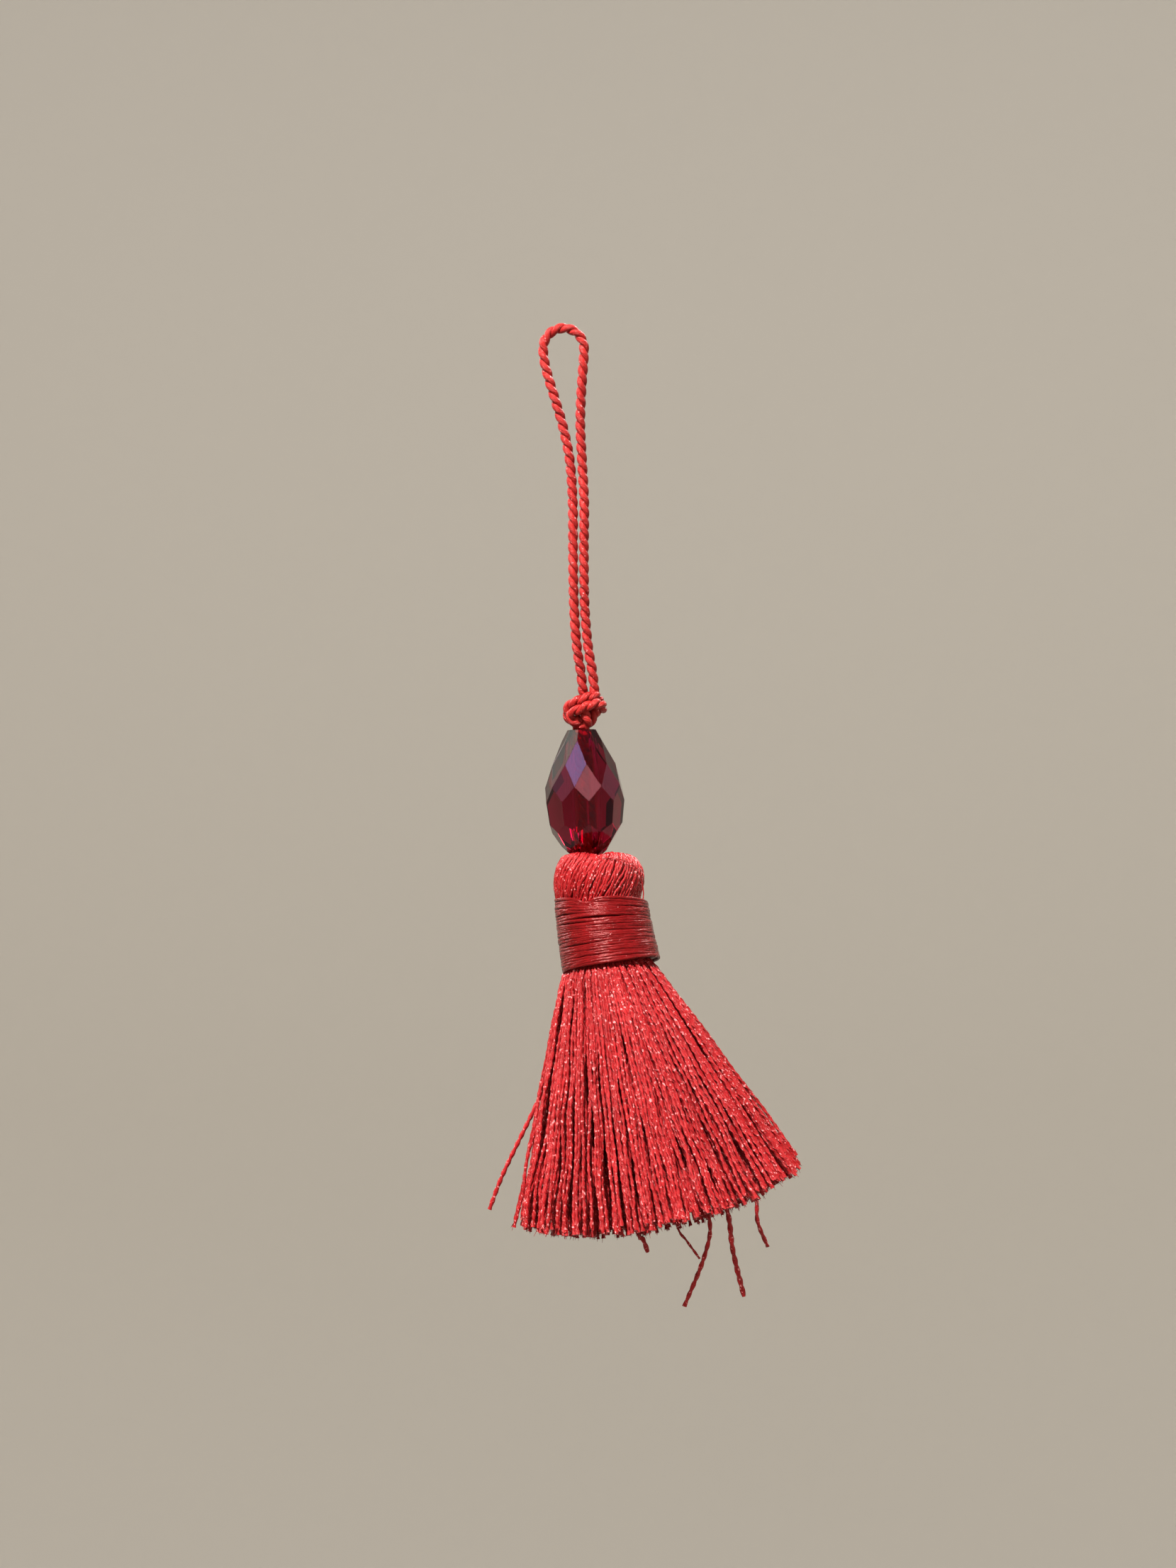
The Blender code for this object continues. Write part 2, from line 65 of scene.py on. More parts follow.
# Hanging cord of two plies, laid left-handed; its runs from the knot up to the eye.
# Its tail is how many steps of the loop's ends the cords of the knot run inside them
CORD_R = 0.61
CORD_FLAT = 0.17
CORD_GROOVE = 0.30
CORD_LAY = 2.6
CORD_STEP = 0.13
CORD_TAIL = 6
CORD_TONE = 0.55
EYE_R = 2.40
EYE_POINTS = 9
EYE_TOP = 0.58
Run = namedtuple("Run", "z x y half turn")
RUNS = (
    Run(z=-41.98, x=2.95, y=0.10, half=0.68, turn=0),
    Run(z=-39.8, x=2.70, y=0.10, half=0.68, turn=4),
    Run(z=-36.7, x=2.20, y=0.00, half=0.68, turn=14),
    Run(z=-32.0, x=1.85, y=-0.10, half=0.68, turn=24),
    Run(z=-26.0, x=1.75, y=-0.10, half=0.68, turn=22),
    Run(z=-20.0, x=1.75, y=0.00, half=0.68, turn=10),
    Run(z=-15.0, x=1.45, y=0.10, half=0.72, turn=2),
    Run(z=-11.0, x=0.95, y=0.15, half=1.02, turn=0),
    Run(z=-8.0, x=0.55, y=0.10, half=1.48, turn=0),
    Run(z=-5.6, x=0.25, y=0.05, half=1.92, turn=0),
    Run(z=-3.6, x=0.06, y=0.00, half=2.26, turn=0),
)

# Overhand knot in the doubled cord, about its own middle, and the pair of cords below it,
# which starts a little thinner than the loop's cord that it comes out of
KNOT_AT = (2.42, 0.0, -44.35)
PAIR_HALF = 0.58
PAIR_IN_BORE = 0.50
PAIR_TURNS_IN_BORE = 0.6
PAIR_POINTS_IN_BORE = 12
PAIR_START_SIZE = 0.93
KNOT_STEP = 0.35
KNOT_STRIDE = 3
KNOT_TONES = (0.5, 0.62)
Bend = namedtuple("Bend", "x y z")
KNOT_BENDS = (
    Bend(x=0.53, y=0.10, z=2.05),
    Bend(x=0.65, y=0.35, z=1.35),
    Bend(x=1.00, y=0.50, z=0.00),
    Bend(x=0.35, y=0.30, z=-1.50),
    Bend(x=-1.35, y=-0.15, z=-1.35),
    Bend(x=-1.75, y=-0.70, z=-0.10),
    Bend(x=-0.35, y=-1.30, z=0.70),
    Bend(x=1.45, y=-0.75, z=1.25),
    Bend(x=1.90, y=0.55, z=0.70),
    Bend(x=0.35, y=1.30, z=0.10),
    Bend(x=-0.55, y=0.35, z=0.00),
    Bend(x=-0.20, y=-0.95, z=-0.75),
    Bend(x=-0.22, y=-0.40, z=-1.70),
)
CROWN_Z = -0.9
SOCKET_Z = -2.8
SOCKET_X = -0.60

# Faceted drop bead, heights above its lower end
BEAD_TOP = (2.17, 0.0, -46.62)
BEAD_FOOT = (2.72, 0.0, -61.42)
BORE_R = 1.20
BORE_LONG = 40
BORE_SIDES = 48
FACETS_AROUND = 9
FACET_TURN = 6
FACET_EDGE = 0.02
FACET_CLOSE = 1e-4
FacetRow = namedtuple("FacetRow", "z r lean offset")
FACET_ROWS = (
    FacetRow(z=12.80, r=2.68, lean=27.9, offset=0.0),
    FacetRow(z=10.70, r=3.57, lean=21.8, offset=0.5),
    FacetRow(z=8.10, r=4.33, lean=11.7, offset=0.0),
    FacetRow(z=5.60, r=4.31, lean=-6.8, offset=0.5),
    FacetRow(z=2.80, r=3.75, lean=-31.8, offset=0.0),
    FacetRow(z=0.85, r=2.55, lean=-48, offset=0.5),
)

# The neck's middle line leans more and more to the side; levels are set down along it
NECK_AT = (3.90, 0.0, -61.10)
NECK_LEAN_TOP = 1.5
NECK_LEAN_FOOT = 9.5
NECK_FORWARD = 9.0
NECK_STEP = 0.1
NECK_LONG = 16.0
BIND_TOP = -5.70
BIND_FOOT = -13.40

# Yarn folded over the cord: the middle of a yarn on its way from the dimple into the binding
Ring = namedtuple("Ring", "r z x")
FOLD_RINGS = (
    Ring(r=0.95, z=-3.10, x=-0.60),
    Ring(r=1.10, z=-1.60, x=-0.60),
    Ring(r=1.75, z=-1.02, x=-0.60),
    Ring(r=2.60, z=-0.85, x=-0.55),
    Ring(r=3.55, z=-0.38, x=-0.35),
    Ring(r=4.42, z=-0.88, x=0.06),
    Ring(r=5.00, z=-1.95, x=0.14),
    Ring(r=5.22, z=-3.40, x=0.10),
    Ring(r=5.02, z=-4.80, x=0.00),
    Ring(r=4.74, z=-5.60, x=0.00),
    Ring(r=4.68, z=-6.60, x=0.00),
)
CORE_RINGS = (
    Ring(r=0.00, z=-3.40, x=-0.60),
    Ring(r=1.35, z=-3.40, x=-0.60),
    Ring(r=1.55, z=-1.70, x=-0.60),
    Ring(r=2.55, z=-1.35, x=-0.58),
    Ring(r=3.50, z=-0.75, x=-0.35),
    Ring(r=4.20, z=-1.10, x=0.08),
    Ring(r=4.68, z=-1.95, x=0.14),
    Ring(r=4.82, z=-3.30, x=0.10),
    Ring(r=4.62, z=-4.80, x=0.00),
    Ring(r=4.45, z=-5.60, x=0.00),
    Ring(r=4.45, z=-13.60, x=0.00),
    Ring(r=3.60, z=-15.20, x=0.00),
    Ring(r=0.00, z=-15.40, x=0.00),
)
CORE_SIDES = 96
CORE_TONE = 0.15
CORE_STREAKS = 40

# Yarns of the head start at several depths of the dimple, rise out of it, and lie in two layers
FOLD_YARNS = 166
FOLD_STEP = 0.22
FOLD_SLANT = -0.10
FOLD_STARTS = 7
FOLD_START_STEP = 0.45
FOLD_START_UNEVEN = 0.3
FOLD_RISE = 1.6
FOLD_SINK = 0.15
FOLD_DIP = 0.50
FOLD_DIP_FROM = 0.4
FOLD_LAYER = 0.16
FOLD_LAYER_UNEVEN = 0.10
FOLD_LAYER_TO = 5
FOLD_SWAY = 0.035
FOLD_SWAY_WAVE = (0.8, 1.5)
FOLD_BESIDE = 0.25
HEAD_YARN_SIZE = 0.88

# The dip in the head's front edge: where it is round the head, and how far along a yarn it comes and goes
NOTCH_AT = math.radians(-84)
NOTCH_WIDE = 0.26
NOTCH_DEEP = 0.75
NOTCH_COMES = 2
NOTCH_END = 6
NOTCH_GOES = 3

# Two-ply yarn of the head and the skirt, twisted left-handed
YARN_R = 0.215
YARN_FLAT = 0.30
YARN_GROOVE = 0.10
YARN_LAY = 2.4

# A loose fibre that lies over the head's right shoulder
LOOSE_FIBRE_R = 0.07
LOOSE_FIBRE_RINGS = 60
LOOSE_FIBRE_TONE = 0.9
LOOSE_FIBRE = (
    Bend(x=2.67, y=-4.4, z=-61.90),
    Bend(x=4.20, y=-4.9, z=-61.60),
    Bend(x=5.83, y=-4.9, z=-61.55),
    Bend(x=7.70, y=-4.3, z=-62.10),
    Bend(x=8.85, y=-3.6, z=-63.40),
    Bend(x=9.30, y=-3.2, z=-65.40),
    Bend(x=9.20, y=-3.3, z=-66.90),
)

# Thread bound round the neck
THREAD_THICK = 0.13
THREAD_WIDE = 0.21
THREAD_LAY = 2.1
THREAD_TOP_R = 5.34
THREAD_FOOT_R = 5.66
THREAD_TOP_X = 0.18
THREAD_FOOT_X = 0.45
THREAD_LEVEL = 0.50
THREAD_TURNS = 30
THREAD_STEPS = 96
THREAD_TONE = 0.5
THREAD_UNEVEN = 0.13
THREAD_UNEVEN_WAVE = 9.7

# The thread strays up and down and in and out by a sum of slow waves, counted in waves for each turn
THREAD_WAVES = (0.37, 0.83, 1.9, 3.3)
THREAD_WANDER = (0.02, 0.06)
THREAD_WANDER_MORE = 1.1
THREAD_LOOSE = (0.005, 0.02)

# Its first turns stand level with the head and dip at one place; after some turns there is a gap
THREAD_LEVEL_TURNS = 9
DIP_AT = math.radians(-110)
DIP_WIDE = 0.20
DIP_TURNS = 2.5
DIP_DEEP = 0.62
DIP_IN = 0.06
GAP_AT_TURN = 9.4
GAP_SUDDEN = 3
GAP_HALF = 0.10

# The thread's lower layers, under the top one and drawn in at both ends
SLEEVE_UNDER = 0.16
SLEEVE_TOP = BIND_TOP - 0.6
SLEEVE_FOOT = BIND_FOOT + 0.1
SLEEVE_EASE = 0.2
SLEEVE_DRAWN_IN = 0.25

# Skirt: yarns set out from the middle like the seeds of a sunflower, crowded to the outside
YARNS = 700
CROWDING = 0.33
ROOT_R = 5.42
ROOT_Z = -14.10
FRINGE_LONG = 29.8
FRINGE_SIDE_LESS = 1.5
FAN_LEAN = 13.1
FAN_HALF = 24.2
FAN_FORWARD = 7.0
FAN_DEPTH_HALF = 17.0
OUTER_FROM = 0.74

# Where the skirt's yarns pass inside the neck: the disc's radius there and the level along the neck
InNeck = namedtuple("InNeck", "r z")
IN_NECK = (InNeck(r=4.55, z=-12.2), InNeck(r=4.85, z=-13.2))

# Yarns lean together in locks towards the hem; some are cut shorter, and each one sways a little
LOCKS = 190
LOCK_PULL = (0.25, 0.6)
ROOT_UNEVEN = 0.035
CUT_UNEVEN = 0.5
SHORT_FROM = 0.93
SHORT_BY = (0.5, 2.0)
FAN_POINTS = 14
FAN_START = 0.02
SWAY_WAVE = (0.5, 0.9)
SWAY_AT_ROOT = 0.08
SWAY_MORE_AT_HEM = 0.12

# Thickness of the skirt's yarns: from yarn to yarn, from root to hem, and flared at the cut end
GIRTH = (0.94, 1.10)
GIRTH_AT_ROOT = 0.92
GIRTH_MORE_AT_HEM = 0.16
FLARE = 0.18
FLARE_LONG = 0.5
Detail = namedtuple("Detail", "points step")
OUTER_DETAIL = Detail(points=6, step=0.30)
INNER_DETAIL = Detail(points=5, step=0.60)

# Fine fibres that spread from each yarn's cut end
FIBRES_EACH = 2
FIBRE_R = 0.045
FIBRE_SPREAD = 0.16
FIBRE_BEND = 0.25
FIBRE_BESIDE = 0.10
FIBRE_LONG = (0.05, 0.30)
FIBRE_ROOTED = 0.5
FIBRE_SIZES = (1.0, 0.9, 0.75, 0.45)

# Yarns that reach past the hem or leave the skirt's side, as seen from the front
Stray = namedtuple("Stray", "leave_x leave_z way_x way_z end_x end_z size")
STRAYS = (
    Stray(leave_x=-3.6, leave_z=-88.5, way_x=-7.0, way_z=-98.6, end_x=-8.7, end_z=-103.0, size=0.85),
    Stray(leave_x=8.6, leave_z=-104.2, way_x=9.3, way_z=-106.4, end_x=9.9, end_z=-108.0, size=0.9),
    Stray(leave_x=13.0, leave_z=-103.6, way_x=14.4, way_z=-106.6, end_x=16.0, end_z=-108.8, size=0.5),
    Stray(leave_x=16.6, leave_z=-103.0, way_x=16.6, way_z=-108.4, end_x=14.2, end_z=-114.4, size=0.85),
    Stray(leave_x=18.6, leave_z=-102.0, way_x=19.9, way_z=-107.8, end_x=21.2, end_z=-113.2, size=1.0),
    Stray(leave_x=21.8, leave_z=-100.6, way_x=22.8, way_z=-104.4, end_x=24.0, end_z=-107.4, size=0.8),
)
STRAY_RINGS = 110
STRAY_SIZE = 1.6
STRAY_TONES = (0.3, 1)
STRAY_WAY_FORWARD = 0.2
STRAY_END_FORWARD = 0.1

# How far forward in the fan the strays start, and the level of the skirt's roots in the whole part
STRAY_OUT = 0.3
ROOTS_LEVEL = NECK_AT[2] + ROOT_Z

# Finishes of spun fibre with linear colours: its streaks are stretched (round, along) the thread,
# and bright glints are painted into its colour as a painted highlight where a fine noise is over the level in
# its last field
Fibre = namedtuple("Fibre", "name bright deep shine roughness stretch bump fleck_from")
YARN = Fibre(
    name="spun_yarn",
    bright=(0.38, 0.013, 0.016),
    deep=(0.17, 0.0008, 0.002),
    shine=0.50,
    roughness=0.20,
    stretch=(9, 2.6),
    bump=0.16,
    fleck_from=0.69,
)
CORD = Fibre(
    name="laid_cord",
    bright=(0.40, 0.022, 0.020),
    deep=(0.15, 0.0012, 0.002),
    shine=0.35,
    roughness=0.26,
    stretch=(20, 2.0),
    bump=0.20,
    fleck_from=0.76,
)
THREAD = Fibre(
    name="fine_thread",
    bright=(0.16, 0.004, 0.005),
    deep=(0.07, 0.0005, 0.001),
    shine=0.28,
    roughness=0.26,
    stretch=(5, 1.3),
    bump=0.13,
    fleck_from=0.83,
)
FIBRE_SHINE_TINT = (1.0, 0.50, 0.48)
FIBRE_ANISOTROPY = 0.55
STREAK_LEAN = math.radians(12)
STREAK_SHARE = 0.9
TONE_SHARE = 0.45
BLOTCH_SHARE = 0.45
DEEP_AT = 0.46
BRIGHT_AT = 0.86
ROUGHER = 0.16
SMOOTHER = 0.10
# Painted highlight: the colour of the glints painted into the fibre, the scale of their noise and how softly
# they fade in
PAINTED_GLINT_COLOUR = (0.85, 0.27, 0.27)
PAINTED_GLINT_SCALE = 3600.0
PAINTED_GLINT_FADE = 0.09

# Glass of the bead, coloured at its skin and again through its depth
GLASS_TINT = (0.72, 0.008, 0.16)
GLASS_SHINE_TINT = (1.0, 0.40, 0.55)
GLASS_DEPTH = (0.83, 0.0, 0.66)
GLASS_DENSITY = 1000.0

# Stage in metres: a round floor, a cove and a wall, open at the top
STAGE_PALE = (0.62, 0.585, 0.53)
STAGE_SIDES = 96
HUB_R = 0.02
FLOOR_Z = -0.90
FLOOR_R = 0.9
COVE_R = 0.6
COVE_STEPS = 12
WALL_TOP = 1.5

# Key, fill and rim lights, then small tinted boxes that the bead's front facets mirror
Light = namedtuple("Light", "name azimuth elevation distance size power colour")
LIGHTS = (
    Light("key", -24, 52, 0.50, 0.05, 7.5, (1.0, 0.97, 0.93)),
    Light("fill", 70, 10, 0.60, 0.40, 0.28, (0.95, 0.97, 1.0)),
    Light("rim", 150, 45, 0.55, 0.20, 2.6, (1.0, 0.98, 0.95)),
    Light("back_fill", -135, 25, 0.60, 0.30, 1.2, (1.0, 0.98, 0.96)),
    Light("violet_box", -35.1, 41.2, 0.70, 0.13, 0.34, (0.33, 0.62, 1.0)),
    Light("left_box", -85.7, 41.6, 0.70, 0.13, 0.17, (0.42, 1.0, 0.70)),
    Light("front_box", 11.6, 23.6, 0.70, 0.13, 0.16, (1.0, 0.86, 0.72)),
    Light("mauve_box", -71.2, 17.0, 0.70, 0.13, 0.04, (1.0, 0.80, 1.0)),
    Light("side_box", -116.8, 22.0, 0.70, 0.13, 0.06, (0.60, 1.0, 0.80)),
    Light("right_box", 95.1, 17.9, 0.70, 0.13, 0.025, (0.70, 0.80, 1.0)),
)
LIT_MIDDLE = (0.006, 0, -0.06)

# Lights above the tassel that face away from it, to the wall of the stage
WALL_LIGHTS = 4
WALL_LIGHT_OUT = 0.25
WALL_LIGHT_HIGH = 0.85
WALL_LIGHT_DOWN = 0.45
WALL_LIGHT_SIZE = 0.40
WALL_LIGHT_POWER = 4.0
WALL_LIGHT_COLOUR = (1.0, 0.98, 0.96)
WORLD_COLOUR = (1.0, 0.98, 0.95)
WORLD_POWER = 0.25


def unit(vectors):
    return vectors / np.linalg.norm(vectors, axis=-1, keepdims=True)


def catmull_rom(points, pieces):
    """A smooth line through the points, with some short pieces between each two."""
    points = np.asarray(points, float)
    ring = np.vstack([2 * points[0] - points[1], points, 2 * points[-1] - points[-2]])
    a, b, c, d = (ring[k : len(ring) - 3 + k, None] for k in range(4))
    t = (np.arange(pieces) / pieces)[:, None]
    line = 0.5 * (2 * b + (c - a) * t + (2 * a - 5 * b + 4 * c - d) * t**2)
    line = line + 0.5 * (3 * b - a - 3 * c + d) * t**3
    return np.vstack([line.reshape(-1, points.shape[1]), points[-1:]])


def gone_along(line):
    """How far along a line each of its points lies."""
    steps = np.linalg.norm(np.diff(line, axis=-2), axis=-1)
    start = np.zeros(steps.shape[:-1] + (1,))
    return np.concatenate([start, np.cumsum(steps, axis=-1)], axis=-1)


def even_steps(line, count):
    """That many points at equal distances along a line."""
    gone = gone_along(line)
    goals = np.linspace(0, gone[-1], count)
    return np.stack([np.interp(goals, gone, axis) for axis in line.T], axis=1)


def smooth_step(share):
    share = np.clip(share, 0, 1)
    return share * share * (3 - 2 * share)


def two_plies(radius, flat, groove, points):
    """The outline of two plies laid together: a flattened round with a groove on each side."""
    angles = TURN * np.arange(points) / points
    across = np.abs(np.sin(angles))
    reach = radius * (1 - flat * across**2 - groove * np.exp((across - 1) / GROOVE_NARROW))
    return np.column_stack([reach * np.cos(angles), reach * np.sin(angles)])


def oval(half_x, half_y, sides):
    angles = TURN * np.arange(sides) / sides
    return np.column_stack([half_x * np.cos(angles), half_y * np.sin(angles)])


def carried_sides(ways, first):
    """A side direction at each ring, carried along the tubes without turning about them."""
    sides = np.empty_like(ways)
    side = first
    for k in range(ways.shape[1]):
        way = ways[:, k]
        side = unit(side - way * (side * way).sum(-1, keepdims=True))
        sides[:, k] = side
    return sides


def mesh_piece(name, places, corners, starts, uvs, tones, finish):
    """An object from arrays: places in mm, each face's corners, a UV per corner, a tone per place."""
    mesh = bpy.data.meshes.new(name)
    mesh.vertices.add(len(places))
    mesh.vertices.foreach_set("co", (places * MM).astype(np.float32).ravel())
    mesh.loops.add(len(corners))
    mesh.loops.foreach_set("vertex_index", corners.astype(np.int32))
    mesh.polygons.add(len(starts))
    mesh.polygons.foreach_set("loop_start", starts.astype(np.int32))
    mesh.update(calc_edges=True)
    mesh.uv_layers.new(name="thread").data.foreach_set("uv", uvs.astype(np.float32).ravel())
    tone = mesh.attributes.new("tone", "FLOAT", "POINT")
    tone.data.foreach_set("value", tones.astype(np.float32).ravel())
    mesh.shade_smooth()
    mesh.set_sharp_from_angle(angle=SHARP_FROM)
    mesh.materials.append(finish)
    piece = bpy.data.objects.new(name, mesh)
    bpy.context.scene.collection.objects.link(piece)
    return piece


def tubes(name, lines, outline, sizes, twist, tones, finish, first=None, sides=None):
    """Closed tubes along lines (tube, ring, xyz) as one object; v of their UVs runs in mm."""
    count, rings, _ = lines.shape
    points = len(outline)
    ways = unit(np.gradient(lines, axis=1))
    if sides is None:
        if first is None:
            level = np.abs(ways[:, :1, 0]) < 0.8
            first = np.where(level, np.array([[1.0, 0, 0]]), np.array([[0, 1.0, 0]]))
        sides = carried_sides(ways, first)
    else:
        sides = unit(sides - ways * (sides * ways).sum(-1, keepdims=True))
    ups = np.cross(ways, sides)
    cos, sin = np.cos(twist)[..., None], np.sin(twist)[..., None]
    lobes = sides * cos + ups * sin
    flanks = ups * cos - sides * sin
    grown = outline * np.broadcast_to(sizes, (count, rings))[..., None, None]
    places = lines[:, :, None] + lobes[:, :, None] * grown[..., :1] + flanks[:, :, None] * grown[..., 1:]

    index = np.arange(count * rings * points).reshape(count, rings, points)
    after = np.roll(index, -1, axis=2)
    walls = np.stack([index[:, :-1], after[:, :-1], after[:, 1:], index[:, 1:]], axis=-1)
    caps = np.concatenate([index[:, 0, ::-1], index[:, -1]])
    wall_count = walls.size // 4
    corners = np.concatenate([walls.ravel(), caps.ravel()])
    starts = np.concatenate(
        [np.arange(wall_count) * 4, wall_count * 4 + np.arange(len(caps)) * points]
    )

    along = gone_along(lines) + TONE_SHIFT * np.asarray(tones).reshape(count, 1)
    u = np.arange(points + 1) / points
    wall_u = np.broadcast_to(np.stack([u[:-1], u[1:], u[1:], u[:-1]], -1), walls.shape)
    low, high = along[:, :-1, None], along[:, 1:, None]
    wall_v = np.broadcast_to(np.stack([low, low, high, high], -1), walls.shape)
    cap_v = np.concatenate([along[:, 0], along[:, -1]])
    cap_uv = np.stack(np.broadcast_arrays(u[:-1], cap_v[:, None]), -1)
    uvs = np.concatenate([np.stack([wall_u, wall_v], -1).reshape(-1, 2), cap_uv.reshape(-1, 2)])

    spread = np.repeat(np.asarray(tones).ravel(), rings * points)
    piece = mesh_piece(name, places.reshape(-1, 3), corners, starts, uvs, spread, finish)
    return piece, lobes


def neck_frame(z):
    """The neck's middle, its side and its back direction at levels z."""
    levels = -NECK_STEP * np.arange(round(NECK_LONG / NECK_STEP))
    share = np.clip(levels / BIND_FOOT, 0, 1)
    lean = np.radians(NECK_LEAN_TOP + (NECK_LEAN_FOOT - NECK_LEAN_TOP) * share)
    forward = np.full_like(lean, -math.tan(math.radians(NECK_FORWARD)))
    down = unit(np.stack([np.tan(lean), forward, -np.ones_like(lean)], axis=-1))
    middle = np.vstack([NECK_AT, NECK_AT + np.cumsum(down * NECK_STEP, axis=0)])[:-1]

    z = np.asarray(z, float)
    at = np.stack([np.interp(-z, -levels, axis) for axis in middle.T], axis=-1)
    way = unit(np.stack([np.interp(-z, -levels, axis) for axis in down.T], axis=-1))
    across = unit(np.cross(np.array([0, 1.0, 0]), -way))
    back = np.cross(-way, across)
    return at, across, back


def neck_place(x, y, z):
    """From places across and along the bent neck to the whole part."""
    at, across, back = neck_frame(z)
    return at + across * np.asarray(x)[..., None] + back * np.asarray(y)[..., None]


def fan_place(side, deep, gone):
    """Where a yarn of the skirt is, some way down from its root in the disc of roots."""
    root = neck_place(side * ROOT_R, deep * ROOT_R, np.full_like(side, ROOT_Z))
    lean = np.radians(FAN_LEAN + FAN_HALF * side)
    tip = np.radians(FAN_DEPTH_HALF * deep - FAN_FORWARD)
    way = unit(np.stack([np.tan(lean), np.tan(tip), -np.ones_like(side)], axis=-1))
    return root[:, None] + way[:, None] * gone[..., None]


def node(tree, kind, **values):
    """A shader node with its settings and unlinked inputs given by name."""
    made = tree.nodes.new(kind)
    for name, value in values.items():
        if name in made.inputs:
            made.inputs[name].default_value = value
        else:
            setattr(made, name, value)
    return made


def thread_finish(fibre):
    """Glossy spun fibre: streaks along the thread, a tone of its own for each, and fine bright glints painted
    into its colour as a painted highlight.
    """
    made = bpy.data.materials.new(fibre.name)
    made.use_nodes = True
    tree = made.node_tree
    shader = tree.nodes["Principled BSDF"]
    shader.inputs["Specular IOR Level"].default_value = fibre.shine
    shader.inputs["Specular Tint"].default_value = (*FIBRE_SHINE_TINT, 1)
    shader.inputs["Anisotropic"].default_value = FIBRE_ANISOTROPY

    uv = node(tree, "ShaderNodeUVMap", uv_map="thread")
    mapping = node(tree, "ShaderNodeMapping")
    mapping.inputs["Scale"].default_value = (*fibre.stretch, 1)
    mapping.inputs["Rotation"].default_value = (0, 0, STREAK_LEAN)
    streaks = node(tree, "ShaderNodeTexNoise", Scale=1.0, Detail=3.0, Roughness=0.6)
    tone = node(tree, "ShaderNodeAttribute", attribute_name="tone")
    place = node(tree, "ShaderNodeTexCoord")
    blotch = node(tree, "ShaderNodeTexNoise", Scale=260.0, Detail=2.0, Roughness=0.5)
    mix_tone = node(tree, "ShaderNodeMath", operation="MULTIPLY_ADD")
    mix_tone.inputs[1].default_value = TONE_SHARE
    blend = node(tree, "ShaderNodeMath", operation="MULTIPLY_ADD")
    blend.inputs[1].default_value = STREAK_SHARE
    colour = node(tree, "ShaderNodeValToRGB")
    colour.color_ramp.elements[0].position = DEEP_AT
    colour.color_ramp.elements[0].color = (*fibre.deep, 1)
    colour.color_ramp.elements[1].position = BRIGHT_AT
    colour.color_ramp.elements[1].color = (*fibre.bright, 1)
    rough = node(tree, "ShaderNodeMapRange")
    rough.inputs["From Min"].default_value = 0.30
    rough.inputs["From Max"].default_value = 0.70
    rough.inputs["To Min"].default_value = fibre.roughness + ROUGHER
    rough.inputs["To Max"].default_value = fibre.roughness - SMOOTHER
    raised = node(tree, "ShaderNodeBump", Strength=1.0, Distance=fibre.bump * MM)

    links = tree.links
    links.new(uv.outputs["UV"], mapping.inputs["Vector"])
    links.new(mapping.outputs["Vector"], streaks.inputs["Vector"])
    links.new(place.outputs["Object"], blotch.inputs["Vector"])
    links.new(tone.outputs["Fac"], mix_tone.inputs[0])
    links.new(blotch.outputs["Fac"], mix_tone.inputs[2])
    links.new(streaks.outputs["Fac"], blend.inputs[0])
    scaled = node(tree, "ShaderNodeMath", operation="MULTIPLY")
    scaled.inputs[1].default_value = BLOTCH_SHARE
    links.new(mix_tone.outputs[0], scaled.inputs[0])
    links.new(scaled.outputs[0], blend.inputs[2])
    links.new(blend.outputs[0], colour.inputs["Fac"])
    # Painted highlight: where the fine noise is high, bright glints are mixed into the base colour
    glint_noise = node(tree, "ShaderNodeTexNoise", Scale=PAINTED_GLINT_SCALE, Detail=0.0)
    glint_mask = node(tree, "ShaderNodeMapRange")
    glint_mask.inputs["From Min"].default_value = fibre.fleck_from
    glint_mask.inputs["From Max"].default_value = fibre.fleck_from + PAINTED_GLINT_FADE
    with_painted_glints = node(tree, "ShaderNodeMix", data_type="RGBA")
    with_painted_glints.inputs[7].default_value = (*PAINTED_GLINT_COLOUR, 1)
    links.new(place.outputs["Object"], glint_noise.inputs["Vector"])
    links.new(glint_noise.outputs["Fac"], glint_mask.inputs["Value"])
    links.new(glint_mask.outputs["Result"], with_painted_glints.inputs[0])
    links.new(colour.outputs["Color"], with_painted_glints.inputs[6])
    links.new(with_painted_glints.outputs[2], shader.inputs["Base Color"])
    links.new(streaks.outputs["Fac"], rough.inputs["Value"])
    links.new(rough.outputs["Result"], shader.inputs["Roughness"])
    links.new(streaks.outputs["Fac"], raised.inputs["Height"])
    links.new(raised.outputs["Normal"], shader.inputs["Normal"])
    around = node(tree, "ShaderNodeTangent", direction_type="UV_MAP", uv_map="thread")
    links.new(around.outputs["Tangent"], shader.inputs["Tangent"])
    return made


